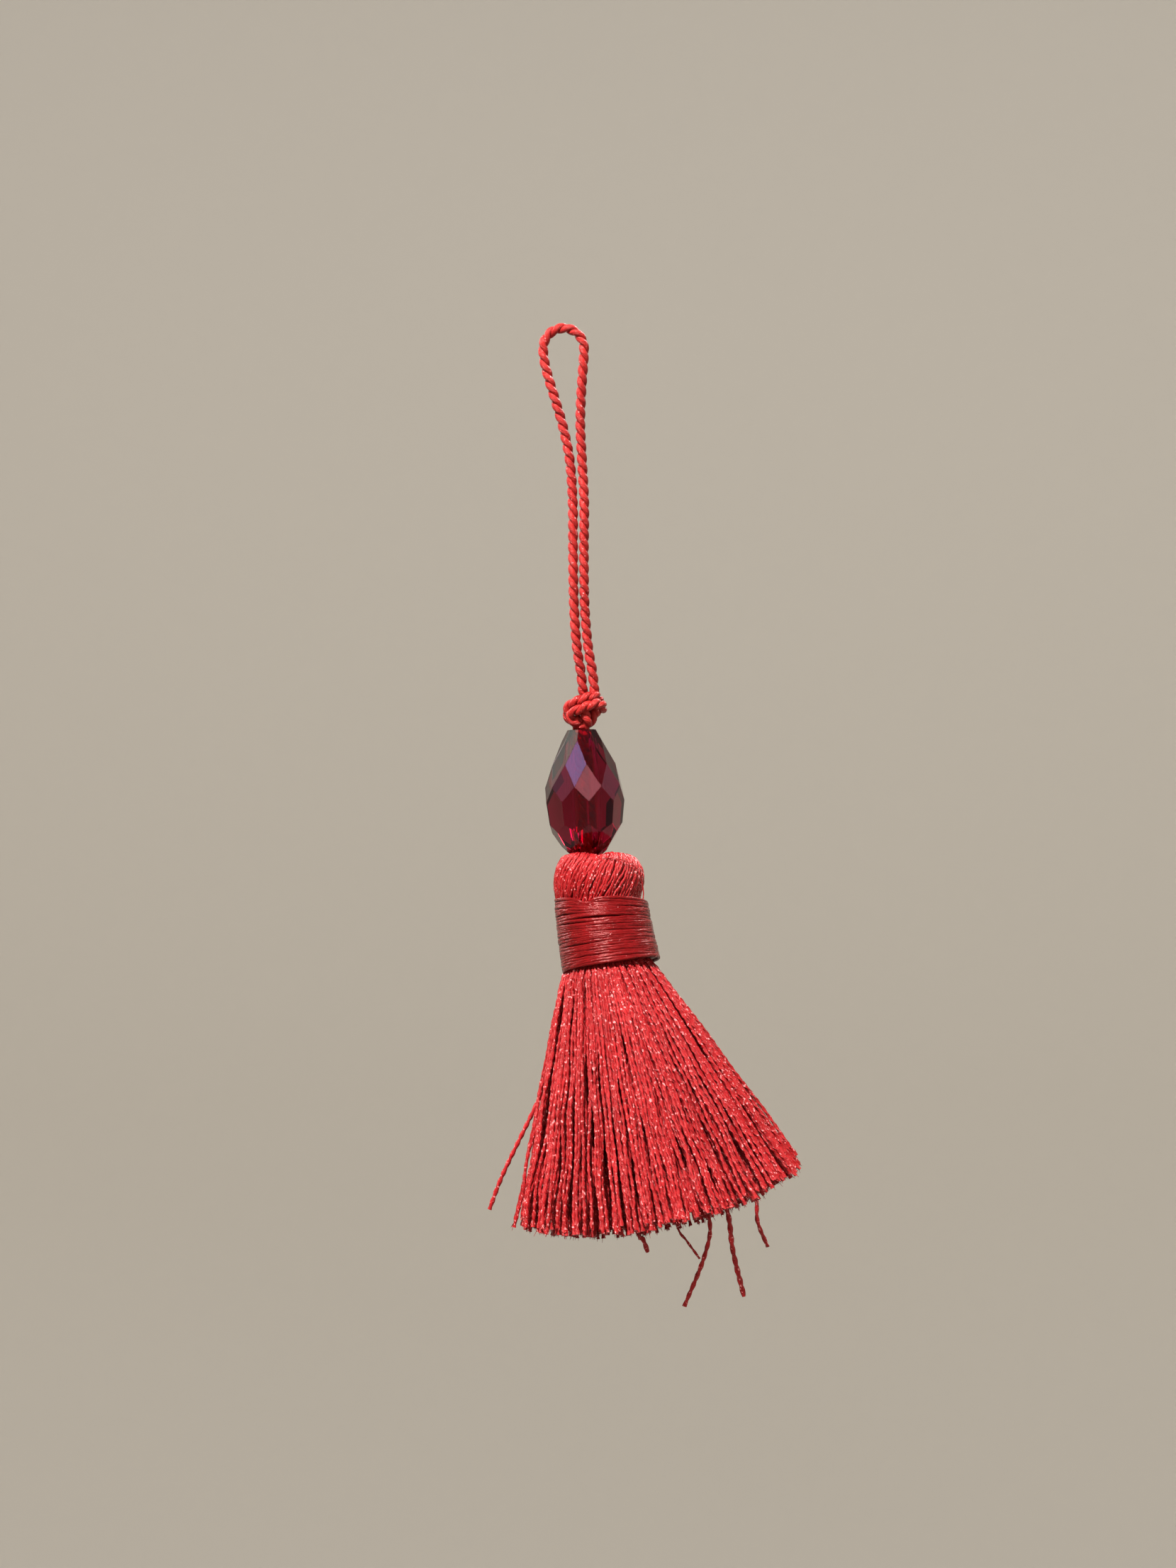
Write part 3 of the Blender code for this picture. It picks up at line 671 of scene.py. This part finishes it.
def glass_finish():
    """Dark red glass, deeper where it is thick, with faint handling marks in its polish."""
    made = bpy.data.materials.new("bead_glass")
    made.use_nodes = True
    tree = made.node_tree
    shader = tree.nodes["Principled BSDF"]
    shader.inputs["Base Color"].default_value = (*GLASS_TINT, 1)
    shader.inputs["Transmission Weight"].default_value = 1.0
    shader.inputs["IOR"].default_value = 1.56
    shader.inputs["Specular IOR Level"].default_value = 0.4
    shader.inputs["Specular Tint"].default_value = (*GLASS_SHINE_TINT, 1)
    place = node(tree, "ShaderNodeTexCoord")
    marks = node(tree, "ShaderNodeTexNoise", Scale=900.0, Detail=4.0, Roughness=0.65)
    rough = node(tree, "ShaderNodeMapRange")
    rough.inputs["From Min"].default_value = 0.35
    rough.inputs["From Max"].default_value = 0.85
    rough.inputs["To Min"].default_value = 0.01
    rough.inputs["To Max"].default_value = 0.12
    depth = node(tree, "ShaderNodeVolumeAbsorption", Color=(*GLASS_DEPTH, 1), Density=GLASS_DENSITY)
    links = tree.links
    links.new(place.outputs["Object"], marks.inputs["Vector"])
    links.new(marks.outputs["Fac"], rough.inputs["Value"])
    links.new(rough.outputs["Result"], shader.inputs["Roughness"])
    links.new(depth.outputs["Volume"], tree.nodes["Material Output"].inputs["Volume"])
    return made


def dress(piece, slot, *nodes):
    """Hangs a piece on the root body and hides the CAD parts that it stands for."""
    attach(piece, "root")
    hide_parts(*nodes)


def loop_route():
    """Up one run, round the eye and down the other run."""
    left, right = [], []
    for run in RUNS:
        turn = math.radians(run.turn)
        out = np.array([math.cos(turn), math.sin(turn), 0]) * run.half
        middle = np.array([run.x, run.y, run.z])
        left.append(middle - out)
        right.append(middle + out)
    angles = np.linspace(math.pi, 0, EYE_POINTS)
    height = EYE_TOP - EYE_R + EYE_R * np.sin(angles)
    eye = np.column_stack([EYE_R * np.cos(angles), np.zeros(EYE_POINTS), height])
    return np.vstack([left, eye, right[::-1]])


def cord_loop(outline, finish):
    """The hanging loop; also gives how its plies lie where both ends go into the knot."""
    line = catmull_rom(loop_route(), 12)
    long = gone_along(line)[-1]
    line = even_steps(line, round(long / CORD_STEP))[None]
    twist = -TURN * gone_along(line) / CORD_LAY
    size, first = np.ones((1, 1)), np.array([[1.0, 0, 0]])
    piece, lobes = tubes("cord_loop", line, outline, size, twist, [CORD_TONE], finish, first=first)
    dress(piece, "cord", "hanging_loop")
    return line[0], lobes[0]


def knot_pair():
    """The doubled cord's middle line through the knot, and the way in which its cords lie apart."""
    line = catmull_rom(KNOT_BENDS, 10)
    line = even_steps(line, round(gone_along(line)[-1] / KNOT_STEP) + 1)
    last = len(line) - 1
    along = line[np.minimum(np.arange(last + 1) + 1, last)] - line[np.maximum(np.arange(last + 1) - 1, 0)]
    out = unit(np.cross(along, line))
    out = unit(np.stack([out[max(0, k - 2) : k + 3].sum(axis=0) for k in range(last + 1)]))
    return line + KNOT_AT, out


def cord_knot(loop_line, loop_lobes, outline, finish):
    """Both cords on from the loop's ends: the knot, the way down the bore and into the head."""
    knot_line, out = knot_pair()
    crown = neck_place([SOCKET_X], [0.0], [CROWN_Z])[0]
    socket = neck_place([SOCKET_X], [0.0], [SOCKET_Z])[0]
    below = even_steps(np.array([BEAD_TOP, BEAD_FOOT, crown, socket]), PAIR_POINTS_IN_BORE)
    across = out[-1] * (1, 1, 0)
    across = across / np.linalg.norm(across)
    angle = TURN * PAIR_TURNS_IN_BORE * np.linspace(0, 1, len(below))[:, None]
    turned = across * np.cos(angle) + np.cross([0, 0, 1.0], across) * np.sin(angle)
    lines, firsts = [], []
    for way, end, tail in ((-1, 0, CORD_TAIL), (1, -1, -1 - CORD_TAIL)):
        knot = knot_line + way * PAIR_HALF * out
        bore = below + way * PAIR_IN_BORE * turned
        stops = [loop_line[tail], loop_line[end], knot[KNOT_STRIDE::KNOT_STRIDE], bore]
        lines.append(catmull_rom(np.vstack(stops), 8))
        firsts.append(loop_lobes[tail])
    count = round(max(gone_along(line)[-1] for line in lines) / CORD_STEP)
    lines = np.stack([even_steps(line, count) for line in lines])
    gone = gone_along(lines)
    grown = smooth_step(gone / (CORD_TAIL * CORD_STEP) - 0.5)
    sizes = PAIR_START_SIZE + (1 - PAIR_START_SIZE) * grown
    twist = -TURN * gone / CORD_LAY
    piece, _ = tubes(
        "cord_knot", lines, outline, sizes, twist, KNOT_TONES, finish, first=np.array(firsts)
    )
    dress(piece, "cord", "knot")


def bead_frame():
    """From the bead's own axis, with its foot at zero, to the whole part."""
    foot, top = Vector(BEAD_FOOT), Vector(BEAD_TOP)
    turn = (top - foot).to_track_quat("Z", "Y").to_matrix().to_4x4()
    return Matrix.Translation(foot * MM) @ turn


def evaluated_mesh(piece):
    bpy.context.view_layer.update()
    graph = bpy.context.evaluated_depsgraph_get()
    return bpy.data.meshes.new_from_object(piece.evaluated_get(graph), depsgraph=graph)


def bead_body():
    """A block cut by rows of flat facets, each row set half a facet from the last."""
    high = (Vector(BEAD_TOP) - Vector(BEAD_FOOT)).length
    wide = 3 * max(row.r for row in FACET_ROWS)
    bm = bmesh.new()
    block = Matrix.Translation((0, 0, high / 2)) @ Matrix.Diagonal((wide, wide, high, 1))
    bmesh.ops.create_cube(bm, size=1, matrix=block)
    for row in FACET_ROWS:
        lean = math.radians(row.lean)
        for k in range(FACETS_AROUND):
            angle = TURN * (k + row.offset) / FACETS_AROUND + math.radians(FACET_TURN)
            out = Vector((math.cos(angle), math.sin(angle), 0))
            normal = out * math.cos(lean) + Vector((0, 0, math.sin(lean)))
            place = out * row.r + Vector((0, 0, row.z))
            geometry = bm.verts[:] + bm.edges[:] + bm.faces[:]
            cut = bmesh.ops.bisect_plane(
                bm, geom=geometry, dist=FACET_CLOSE, plane_co=place, plane_no=normal, clear_outer=True
            )
            rim = [edge for edge in cut["geom_cut"] if isinstance(edge, bmesh.types.BMEdge)]
            bmesh.ops.contextual_create(bm, geom=rim)
    bmesh.ops.recalc_face_normals(bm, faces=bm.faces)
    bmesh.ops.bevel(
        bm, geom=bm.edges[:], offset=FACET_EDGE, segments=2, profile=0.5, affect="EDGES", clamp_overlap=True
    )
    bmesh.ops.remove_doubles(bm, verts=bm.verts, dist=FACET_CLOSE)
    bmesh.ops.scale(bm, vec=(MM, MM, MM), verts=bm.verts)
    mesh = bpy.data.meshes.new("bead_body")
    bm.to_mesh(mesh)
    bm.free()
    return mesh


def faceted_bead(finish):
    """The cut drop with its edges eased and its bore drilled."""
    body = bpy.data.objects.new("bead_body", bead_body())
    bm = bmesh.new()
    bmesh.ops.create_cone(
        bm,
        cap_ends=True,
        segments=BORE_SIDES,
        radius1=BORE_R * MM,
        radius2=BORE_R * MM,
        depth=BORE_LONG * MM,
    )
    drill_mesh = bpy.data.meshes.new("bead_drill")
    bm.to_mesh(drill_mesh)
    bm.free()
    drill = bpy.data.objects.new("bead_drill", drill_mesh)
    for tool in (body, drill):
        bpy.context.scene.collection.objects.link(tool)
    bore = body.modifiers.new("bore", "BOOLEAN")
    bore.operation = "DIFFERENCE"
    bore.solver = "EXACT"
    bore.object = drill
    mesh = evaluated_mesh(body)
    mesh.transform(bead_frame())
    for tool in (body, drill):
        bpy.data.objects.remove(tool)
    mesh.shade_flat()
    mesh.materials.clear()
    mesh.materials.append(finish)
    piece = bpy.data.objects.new("bead_drop", mesh)
    bpy.context.scene.collection.objects.link(piece)
    dress(piece, "glass", "bead")


def turned_piece(name, rings, around, finish):
    """A closed skin turned round the bent neck, from rings that begin and end on its axis."""
    rings = np.array(rings)
    angles = TURN * np.arange(around) / around
    r, z, x = (rings[1:-1, k, None] for k in range(3))
    wall = neck_place(r * np.cos(angles) + x, r * np.sin(angles), z + 0 * angles).reshape(-1, 3)
    ends = neck_place(rings[[0, -1], 2], np.zeros(2), rings[[0, -1], 1])
    places = np.vstack([wall, ends])
    rows = len(rings) - 2
    index = np.arange(rows * around).reshape(rows, around)
    after = np.roll(index, -1, axis=1)
    quads = np.stack([index[:-1], index[1:], after[1:], after[:-1]], -1).reshape(-1, 4)
    top, foot = rows * around, rows * around + 1
    lids = np.vstack(
        [
            np.column_stack([index[0], after[0], np.full(around, top)]),
            np.column_stack([after[-1], index[-1], np.full(around, foot)]),
        ]
    )
    corners = np.concatenate([quads.ravel(), lids.ravel()])
    starts = np.concatenate([np.arange(len(quads)) * 4, quads.size + np.arange(len(lids)) * 3])
    turns = np.append((np.arange(rows * around) % around) / around, [0, 0])
    levels = np.append(np.repeat(rings[1:-1, 1], around), rings[[0, -1], 1])
    uvs = np.stack([CORE_STREAKS * turns[corners], levels[corners]], -1)
    tones = np.full(len(places), CORE_TONE)
    return mesh_piece(name, places, corners, starts, uvs, tones, finish)


def folded_yarns(rng, finish):
    """Yarns of the head: out of the dimple, slanting over the shoulder, in under the binding."""
    fold = catmull_rom(FOLD_RINGS, 10)
    fold = even_steps(fold, round(gone_along(fold)[-1] / FOLD_STEP))
    gone = gone_along(fold)
    rings = len(fold)
    lines, tones = [], []
    for k in range(FOLD_YARNS):
        begin = (k * 2 % FOLD_STARTS) * FOLD_START_STEP + rng.uniform(0, FOLD_START_UNEVEN)
        goals = np.linspace(begin, gone[-1], rings)
        r, z, x = (np.interp(goals, gone, fold[:, axis]) for axis in range(3))
        rise = smooth_step((goals - begin) / FOLD_RISE)
        layer = FOLD_LAYER * (k % 2) + rng.uniform(0, FOLD_LAYER_UNEVEN)
        r = r - (1 - rise) * FOLD_SINK - layer * smooth_step((goals - 2) / 2)
        z = z - (1 - rise) * FOLD_DIP * (begin > FOLD_DIP_FROM) - layer * (goals < FOLD_LAYER_TO)
        sway = FOLD_SWAY * np.sin(goals * rng.uniform(*FOLD_SWAY_WAVE) + rng.uniform(0, TURN))
        beside = rng.uniform(-FOLD_BESIDE, FOLD_BESIDE)
        angle = TURN * (k + beside) / FOLD_YARNS + FOLD_SLANT * goals + sway
        off = (angle - NOTCH_AT + math.pi) % TURN - math.pi
        notch = np.exp(-((off / NOTCH_WIDE) ** 2)) * smooth_step(goals / NOTCH_COMES)
        z = z - NOTCH_DEEP * notch * smooth_step((NOTCH_END - goals) / NOTCH_GOES)
        lines.append(neck_place(r * np.cos(angle) + x, r * np.sin(angle), z))
        tones.append(rng.uniform(0, 1))
    lines = np.array(lines)
    twist = -TURN * gone_along(lines) / YARN_LAY + rng.uniform(0, TURN, (FOLD_YARNS, 1))
    sizes = np.full((FOLD_YARNS, rings), HEAD_YARN_SIZE)
    outline = two_plies(YARN_R, YARN_FLAT, YARN_GROOVE, 8)
    piece, _ = tubes("head_yarns", lines, outline, sizes, twist, tones, finish)
    dress(piece, "yarn", "tassel_yarn")


def loose_fibre(finish):
    line = even_steps(catmull_rom(LOOSE_FIBRE, 10), LOOSE_FIBRE_RINGS)[None]
    outline = oval(LOOSE_FIBRE_R, LOOSE_FIBRE_R, 6)
    size, twist = np.ones((1, 1)), np.zeros((1, LOOSE_FIBRE_RINGS))
    piece, _ = tubes("head_loose_fibre", line, outline, size, twist, [LOOSE_FIBRE_TONE], finish)
    dress(piece, "yarn", "tassel_yarn")


def bound_thread(rng, finish):
    """One thread wound down the neck, a little uneven, with a gap and a dip as in the photo."""
    rings = THREAD_TURNS * THREAD_STEPS
    turn = np.linspace(0, THREAD_TURNS, rings)
    angle = TURN * turn + TURN / 4
    top, foot = BIND_TOP - THREAD_WIDE, BIND_FOOT + THREAD_WIDE
    share = turn / THREAD_TURNS
    z = top + (foot - top) * share
    wander = np.zeros(rings)
    loose = np.zeros(rings)
    for waves in THREAD_WAVES:
        wander += rng.uniform(*THREAD_WANDER) * np.sin(TURN * waves * turn + rng.uniform(0, TURN))
        loose += rng.uniform(*THREAD_LOOSE) * np.sin(TURN * waves * turn + rng.uniform(0, TURN))
    place = (angle + math.pi) % TURN - math.pi
    dip = np.exp(-(((place - DIP_AT) / DIP_WIDE) ** 2)) * np.exp(-turn / DIP_TURNS)
    gap = np.tanh((turn - GAP_AT_TURN) * GAP_SUDDEN)
    level = THREAD_LEVEL * np.cos(angle) * np.exp(-turn / THREAD_LEVEL_TURNS)
    z = z + THREAD_WANDER_MORE * wander - DIP_DEEP * dip - GAP_HALF * gap - level
    r = THREAD_TOP_R + (THREAD_FOOT_R - THREAD_TOP_R) * share + loose - DIP_IN * dip
    x = THREAD_TOP_X + (THREAD_FOOT_X - THREAD_TOP_X) * share
    lines = neck_place(r * np.cos(angle) + x, r * np.sin(angle), z)[None]
    middle = neck_frame(z)[0][None]
    pulse = np.sin(gone_along(lines) * TURN / THREAD_LAY) * np.sin(turn * THREAD_UNEVEN_WAVE)
    sizes = 1 + THREAD_UNEVEN * pulse
    outline = oval(THREAD_THICK, THREAD_WIDE, 8)
    twist = np.zeros((1, rings))
    piece, _ = tubes(
        "neck_thread", lines, outline, sizes, twist, [THREAD_TONE], finish, sides=lines - middle
    )
    dress(piece, "binding", "neck_binding")


def neck_sleeve(finish):
    """The thread's lower layers, seen only through the gaps of the top one."""
    top_r, foot_r = THREAD_TOP_R - SLEEVE_UNDER, THREAD_FOOT_R - SLEEVE_UNDER
    rings = (
        Ring(r=0, z=SLEEVE_TOP, x=THREAD_TOP_X),
        Ring(r=top_r - SLEEVE_DRAWN_IN, z=SLEEVE_TOP, x=THREAD_TOP_X),
        Ring(r=top_r, z=SLEEVE_TOP - SLEEVE_EASE, x=THREAD_TOP_X),
        Ring(r=foot_r, z=SLEEVE_FOOT + SLEEVE_EASE, x=THREAD_FOOT_X),
        Ring(r=foot_r - SLEEVE_DRAWN_IN, z=SLEEVE_FOOT, x=THREAD_FOOT_X),
        Ring(r=0, z=SLEEVE_FOOT, x=THREAD_FOOT_X),
    )
    piece = turned_piece("neck_sleeve", rings, CORE_SIDES, finish)
    dress(piece, "binding", "neck_binding")


def skirt_lines(rng):
    """The skirt's yarns as control points, drawn together into locks towards the hem."""
    i = np.arange(YARNS)
    out = ((i + 0.5) / YARNS) ** CROWDING
    side, deep = out * np.cos(i * GOLDEN_ANGLE), out * np.sin(i * GOLDEN_ANGLE)
    k = np.arange(LOCKS)
    lock_out = ((k + 0.5) / LOCKS) ** CROWDING
    lock_side, lock_deep = lock_out * np.cos(k * GOLDEN_ANGLE), lock_out * np.sin(k * GOLDEN_ANGLE)
    far = (side[:, None] - lock_side) ** 2 + (deep[:, None] - lock_deep) ** 2
    lock = far.argmin(axis=1)
    pull = rng.uniform(*LOCK_PULL, LOCKS)[lock]
    jitter = rng.uniform(-1, 1, (2, YARNS)) * ROOT_UNEVEN
    long = FRINGE_LONG - FRINGE_SIDE_LESS * side**2 + rng.uniform(-CUT_UNEVEN, CUT_UNEVEN, YARNS)
    long -= (rng.uniform(0, 1, YARNS) > SHORT_FROM) * rng.uniform(*SHORT_BY, YARNS)
    share = np.linspace(FAN_START, 1, FAN_POINTS)
    gone = long[:, None] * share
    own = fan_place(side + jitter[0], deep + jitter[1], gone)
    shared = fan_place(lock_side[lock], lock_deep[lock], gone)
    pulled = (pull[:, None] * smooth_step(share))[..., None]
    fan = own * (1 - pulled) + shared * pulled

    direction = rng.uniform(0, TURN, (YARNS, 1))
    wave = rng.uniform(*SWAY_WAVE, (YARNS, 1))
    reach = SWAY_AT_ROOT + SWAY_MORE_AT_HEM * share
    swing = reach * np.sin(wave * gone + rng.uniform(0, TURN, (YARNS, 1)))
    fan[..., 0] += swing * np.cos(direction)
    fan[..., 1] += swing * np.sin(direction)
    inside = [
        neck_place(side * ring.r, deep * ring.r, np.full(YARNS, ring.z)) for ring in IN_NECK
    ]
    lines = np.concatenate([np.stack(inside, axis=1), fan], axis=1)
    return lines, out, side, deep


def skirt(rng, finish):
    """All yarns of the skirt in five pieces, and the loose fibres at their cut ends."""
    lines, out, side, deep = skirt_lines(rng)
    tones = rng.uniform(0, 1, YARNS)
    phase = rng.uniform(0, TURN, YARNS)
    girth = rng.uniform(*GIRTH, YARNS)
    outer = out > OUTER_FROM
    groups = (
        ("skirt_front_left", outer & (deep <= 0) & (side <= 0), OUTER_DETAIL),
        ("skirt_front_right", outer & (deep <= 0) & (side > 0), OUTER_DETAIL),
        ("skirt_back_left", outer & (deep > 0) & (side <= 0), OUTER_DETAIL),
        ("skirt_back_right", outer & (deep > 0) & (side > 0), OUTER_DETAIL),
        ("skirt_inside", ~outer, INNER_DETAIL),
    )
    for name, chosen, detail in groups:
        paths = [catmull_rom(line, 6) for line in lines[chosen]]
        count = round(max(gone_along(path)[-1] for path in paths) / detail.step)
        paths = np.array([even_steps(path, count) for path in paths])
        gone = gone_along(paths)
        twist = -TURN * gone / YARN_LAY + phase[chosen, None]
        left = gone[:, -1:] - gone
        sizes = girth[chosen, None] * (GIRTH_AT_ROOT + GIRTH_MORE_AT_HEM * gone / gone[:, -1:])
        sizes = sizes * (1 + FLARE * np.exp(-left / FLARE_LONG))
        outline = two_plies(YARN_R, YARN_FLAT, YARN_GROOVE, detail.points)
        piece, _ = tubes(name, paths, outline, sizes, twist, tones[chosen], finish)
        dress(piece, "yarn", "tassel_yarn")
    cut_ends(rng, lines[:, -1], unit(lines[:, -1] - lines[:, -3]), finish)


def cut_ends(rng, ends, ways, finish):
    """Fine fibres that spread from the cut ends of the yarns."""
    ends = np.repeat(ends, FIBRES_EACH, axis=0)
    ways = np.repeat(ways, FIBRES_EACH, axis=0)
    count, rings = len(ends), len(FIBRE_SIZES)
    spread = rng.normal(0, FIBRE_SPREAD, (count, 3))
    bend = rng.normal(0, FIBRE_BEND, (count, 3))
    long = rng.uniform(*FIBRE_LONG, (count, 1))
    base = ends + rng.normal(0, FIBRE_BESIDE, (count, 3)) - ways * FIBRE_ROOTED
    share = np.linspace(0, 1, rings)[:, None]
    lines = base[:, None] + (ways + spread)[:, None] * (long[:, None] + FIBRE_ROOTED) * share
    lines = lines + bend[:, None] * share**2 * long[:, None]
    sizes = np.broadcast_to(np.array(FIBRE_SIZES), (count, rings))
    outline = oval(FIBRE_R, FIBRE_R, 3)
    twist = np.zeros((count, rings))
    piece, _ = tubes("hem_fibres", lines, outline, sizes, twist, rng.uniform(0, 1, count), finish)
    dress(piece, "yarn", "tassel_yarn")


def seen_at(x, z, y):
    """The point at depth y that the camera sees where x, z lies in the plane of the hang point."""
    near = 1 - y / CAMERA_AT[1]
    return (CAMERA_AT[0] + (x - CAMERA_AT[0]) * near, y, CAMERA_AT[2] + (z - CAMERA_AT[2]) * near)


def fan_drop(side, deep):
    """How far a yarn of the fan goes down for each mm of its length."""
    ends = fan_place(np.array([side]), np.array([deep]), np.array([[0.0, 1.0]]))[0]
    return ends[0, 2] - ends[1, 2]


def fan_side(x, z):
    """The place across the fan, from -1 to 1, of the front yarn that passes x at level z."""
    sides = np.linspace(-1, 1, 81)
    passed = []
    for side in sides:
        deep = -STRAY_OUT * math.sqrt(1 - side**2)
        gone = (ROOTS_LEVEL - z) / fan_drop(side, deep)
        passed.append(fan_place(np.array([side]), np.array([deep]), np.array([[gone]]))[0, 0, 0])
    return float(np.interp(x, passed, sides))


def stray_yarns(rng, finish):
    """The yarns that leave the skirt's side or hang below its hem."""
    outline = two_plies(YARN_R, YARN_FLAT, YARN_GROOVE, 8)
    inside = IN_NECK[-1]
    lines, sizes = [], []
    for stray in STRAYS:
        side = fan_side(stray.leave_x, stray.leave_z)
        deep = -STRAY_OUT * math.sqrt(max(0.0, 1 - side**2))
        long = (ROOTS_LEVEL - stray.leave_z) * np.linspace(0, 1, 6)
        down = fan_place(np.array([side]), np.array([deep]), long[None] / fan_drop(side, deep))[0]
        root = neck_place([side * inside.r], [deep * inside.r], [inside.z])[0]
        leave_y = down[-1, 1]
        points = [
            root,
            *down,
            seen_at(stray.way_x, stray.way_z, leave_y - STRAY_WAY_FORWARD),
            seen_at(stray.end_x, stray.end_z, leave_y - STRAY_END_FORWARD),
        ]
        lines.append(even_steps(catmull_rom(points, 12), STRAY_RINGS))
        sizes.append(np.full(STRAY_RINGS, STRAY_SIZE * stray.size))
    lines, sizes = np.array(lines), np.array(sizes)
    twist = -TURN * gone_along(lines) / YARN_LAY + rng.uniform(0, TURN, (len(STRAYS), 1))
    tones = rng.uniform(*STRAY_TONES, len(STRAYS))
    piece, _ = tubes("skirt_strays", lines, outline, sizes, twist, tones, finish)
    dress(piece, "yarn", "tassel_yarn")


def stage_finish():
    """Plain matt warm paper."""
    made = bpy.data.materials.new("stage_paper")
    made.use_nodes = True
    tree = made.node_tree
    shader = tree.nodes["Principled BSDF"]
    shader.inputs["Base Color"].default_value = (*STAGE_PALE, 1)
    shader.inputs["Roughness"].default_value = 0.9
    shader.inputs["Specular IOR Level"].default_value = 0.1
    return made


def backdrop():
    """Floor, cove and wall as one skin turned round the tassel, open only at the top."""
    profile = [(HUB_R, FLOOR_Z), (FLOOR_R, FLOOR_Z)]
    for k in range(1, COVE_STEPS + 1):
        angle = math.pi / 2 * k / COVE_STEPS
        rise = COVE_R * (1 - math.cos(angle))
        profile.append((FLOOR_R + COVE_R * math.sin(angle), FLOOR_Z + rise))
    profile.append((FLOOR_R + COVE_R, WALL_TOP))
    rounds = [TURN * k / STAGE_SIDES for k in range(STAGE_SIDES)]
    bm = bmesh.new()
    loops = []
    for r, z in profile:
        loops.append([bm.verts.new((r * math.cos(at), r * math.sin(at), z)) for at in rounds])
    bm.faces.new(loops[0])
    for low, high in zip(loops, loops[1:]):
        for k in range(STAGE_SIDES):
            after = (k + 1) % STAGE_SIDES
            bm.faces.new((low[k], low[after], high[after], high[k]))
    bmesh.ops.recalc_face_normals(bm, faces=bm.faces)
    bmesh.ops.reverse_faces(bm, faces=bm.faces)
    mesh = bpy.data.meshes.new("backdrop")
    bm.to_mesh(mesh)
    bm.free()
    mesh.shade_smooth()
    mesh.materials.append(stage_finish())
    stage = bpy.data.objects.new("backdrop", mesh)
    bpy.context.scene.collection.objects.link(stage)


def disk_light(name, place, from_way, size, power, colour):
    """A round area light that shines against from_way."""
    data = bpy.data.lights.new(name, "AREA")
    data.shape = "DISK"
    data.size = size
    data.energy = power
    data.color = colour
    light = bpy.data.objects.new(name, data)
    light.location = place
    light.rotation_euler = from_way.to_track_quat("Z", "Y").to_euler()
    bpy.context.scene.collection.objects.link(light)


def add_lights():
    """Soft studio lights; azimuth 0 is the camera's side and grows towards its right."""
    middle = Vector(LIT_MIDDLE)
    for row in LIGHTS:
        azimuth, elevation = math.radians(row.azimuth), math.radians(row.elevation)
        flat = math.cos(elevation)
        away = Vector((math.sin(azimuth) * flat, -math.cos(azimuth) * flat, math.sin(elevation)))
        place = middle + away * row.distance
        disk_light(row.name, place, away, row.size, row.power, row.colour)
    for k in range(WALL_LIGHTS):
        angle = TURN * (k + 0.5) / WALL_LIGHTS
        out = Vector((math.cos(angle), math.sin(angle), 0))
        place = out * WALL_LIGHT_OUT + Vector((0, 0, WALL_LIGHT_HIGH))
        from_way = Vector((0, 0, WALL_LIGHT_DOWN)) - out
        disk_light(
            "wall_light", place, from_way, WALL_LIGHT_SIZE, WALL_LIGHT_POWER, WALL_LIGHT_COLOUR
        )
    world = bpy.data.worlds.new("studio")
    world.use_nodes = True
    background = world.node_tree.nodes["Background"]
    background.inputs["Color"].default_value = (*WORLD_COLOUR, 1)
    background.inputs["Strength"].default_value = WORLD_POWER
    bpy.context.scene.world = world


def add_camera():
    data = bpy.data.cameras.new("photo_view")
    data.lens = LENS_MM
    data.sensor_width = SENSOR_MM
    data.clip_start = 0.01
    camera = bpy.data.objects.new("photo_view", data)
    camera.location = Vector(CAMERA_AT) * MM
    camera.rotation_euler = (math.pi / 2, 0, 0)
    bpy.context.scene.collection.objects.link(camera)
    bpy.context.scene.camera = camera


def main():
    rng = np.random.default_rng(RANDOM_SEED)
    add_camera()
    yarn, cord, thread = thread_finish(YARN), thread_finish(CORD), thread_finish(THREAD)

    cord_outline = two_plies(CORD_R, CORD_FLAT, CORD_GROOVE, 20)
    loop_line, loop_lobes = cord_loop(cord_outline, cord)
    cord_knot(loop_line, loop_lobes, cord_outline, cord)
    faceted_bead(glass_finish())
    dress(turned_piece("yarn_core", CORE_RINGS, CORE_SIDES, yarn), "yarn", "tassel_yarn")
    folded_yarns(rng, yarn)
    loose_fibre(yarn)
    neck_sleeve(thread)
    bound_thread(rng, thread)
    skirt(rng, yarn)
    stray_yarns(rng, yarn)
    backdrop()
    add_lights()
    bpy.context.scene.view_settings.view_transform = "Standard"


main()
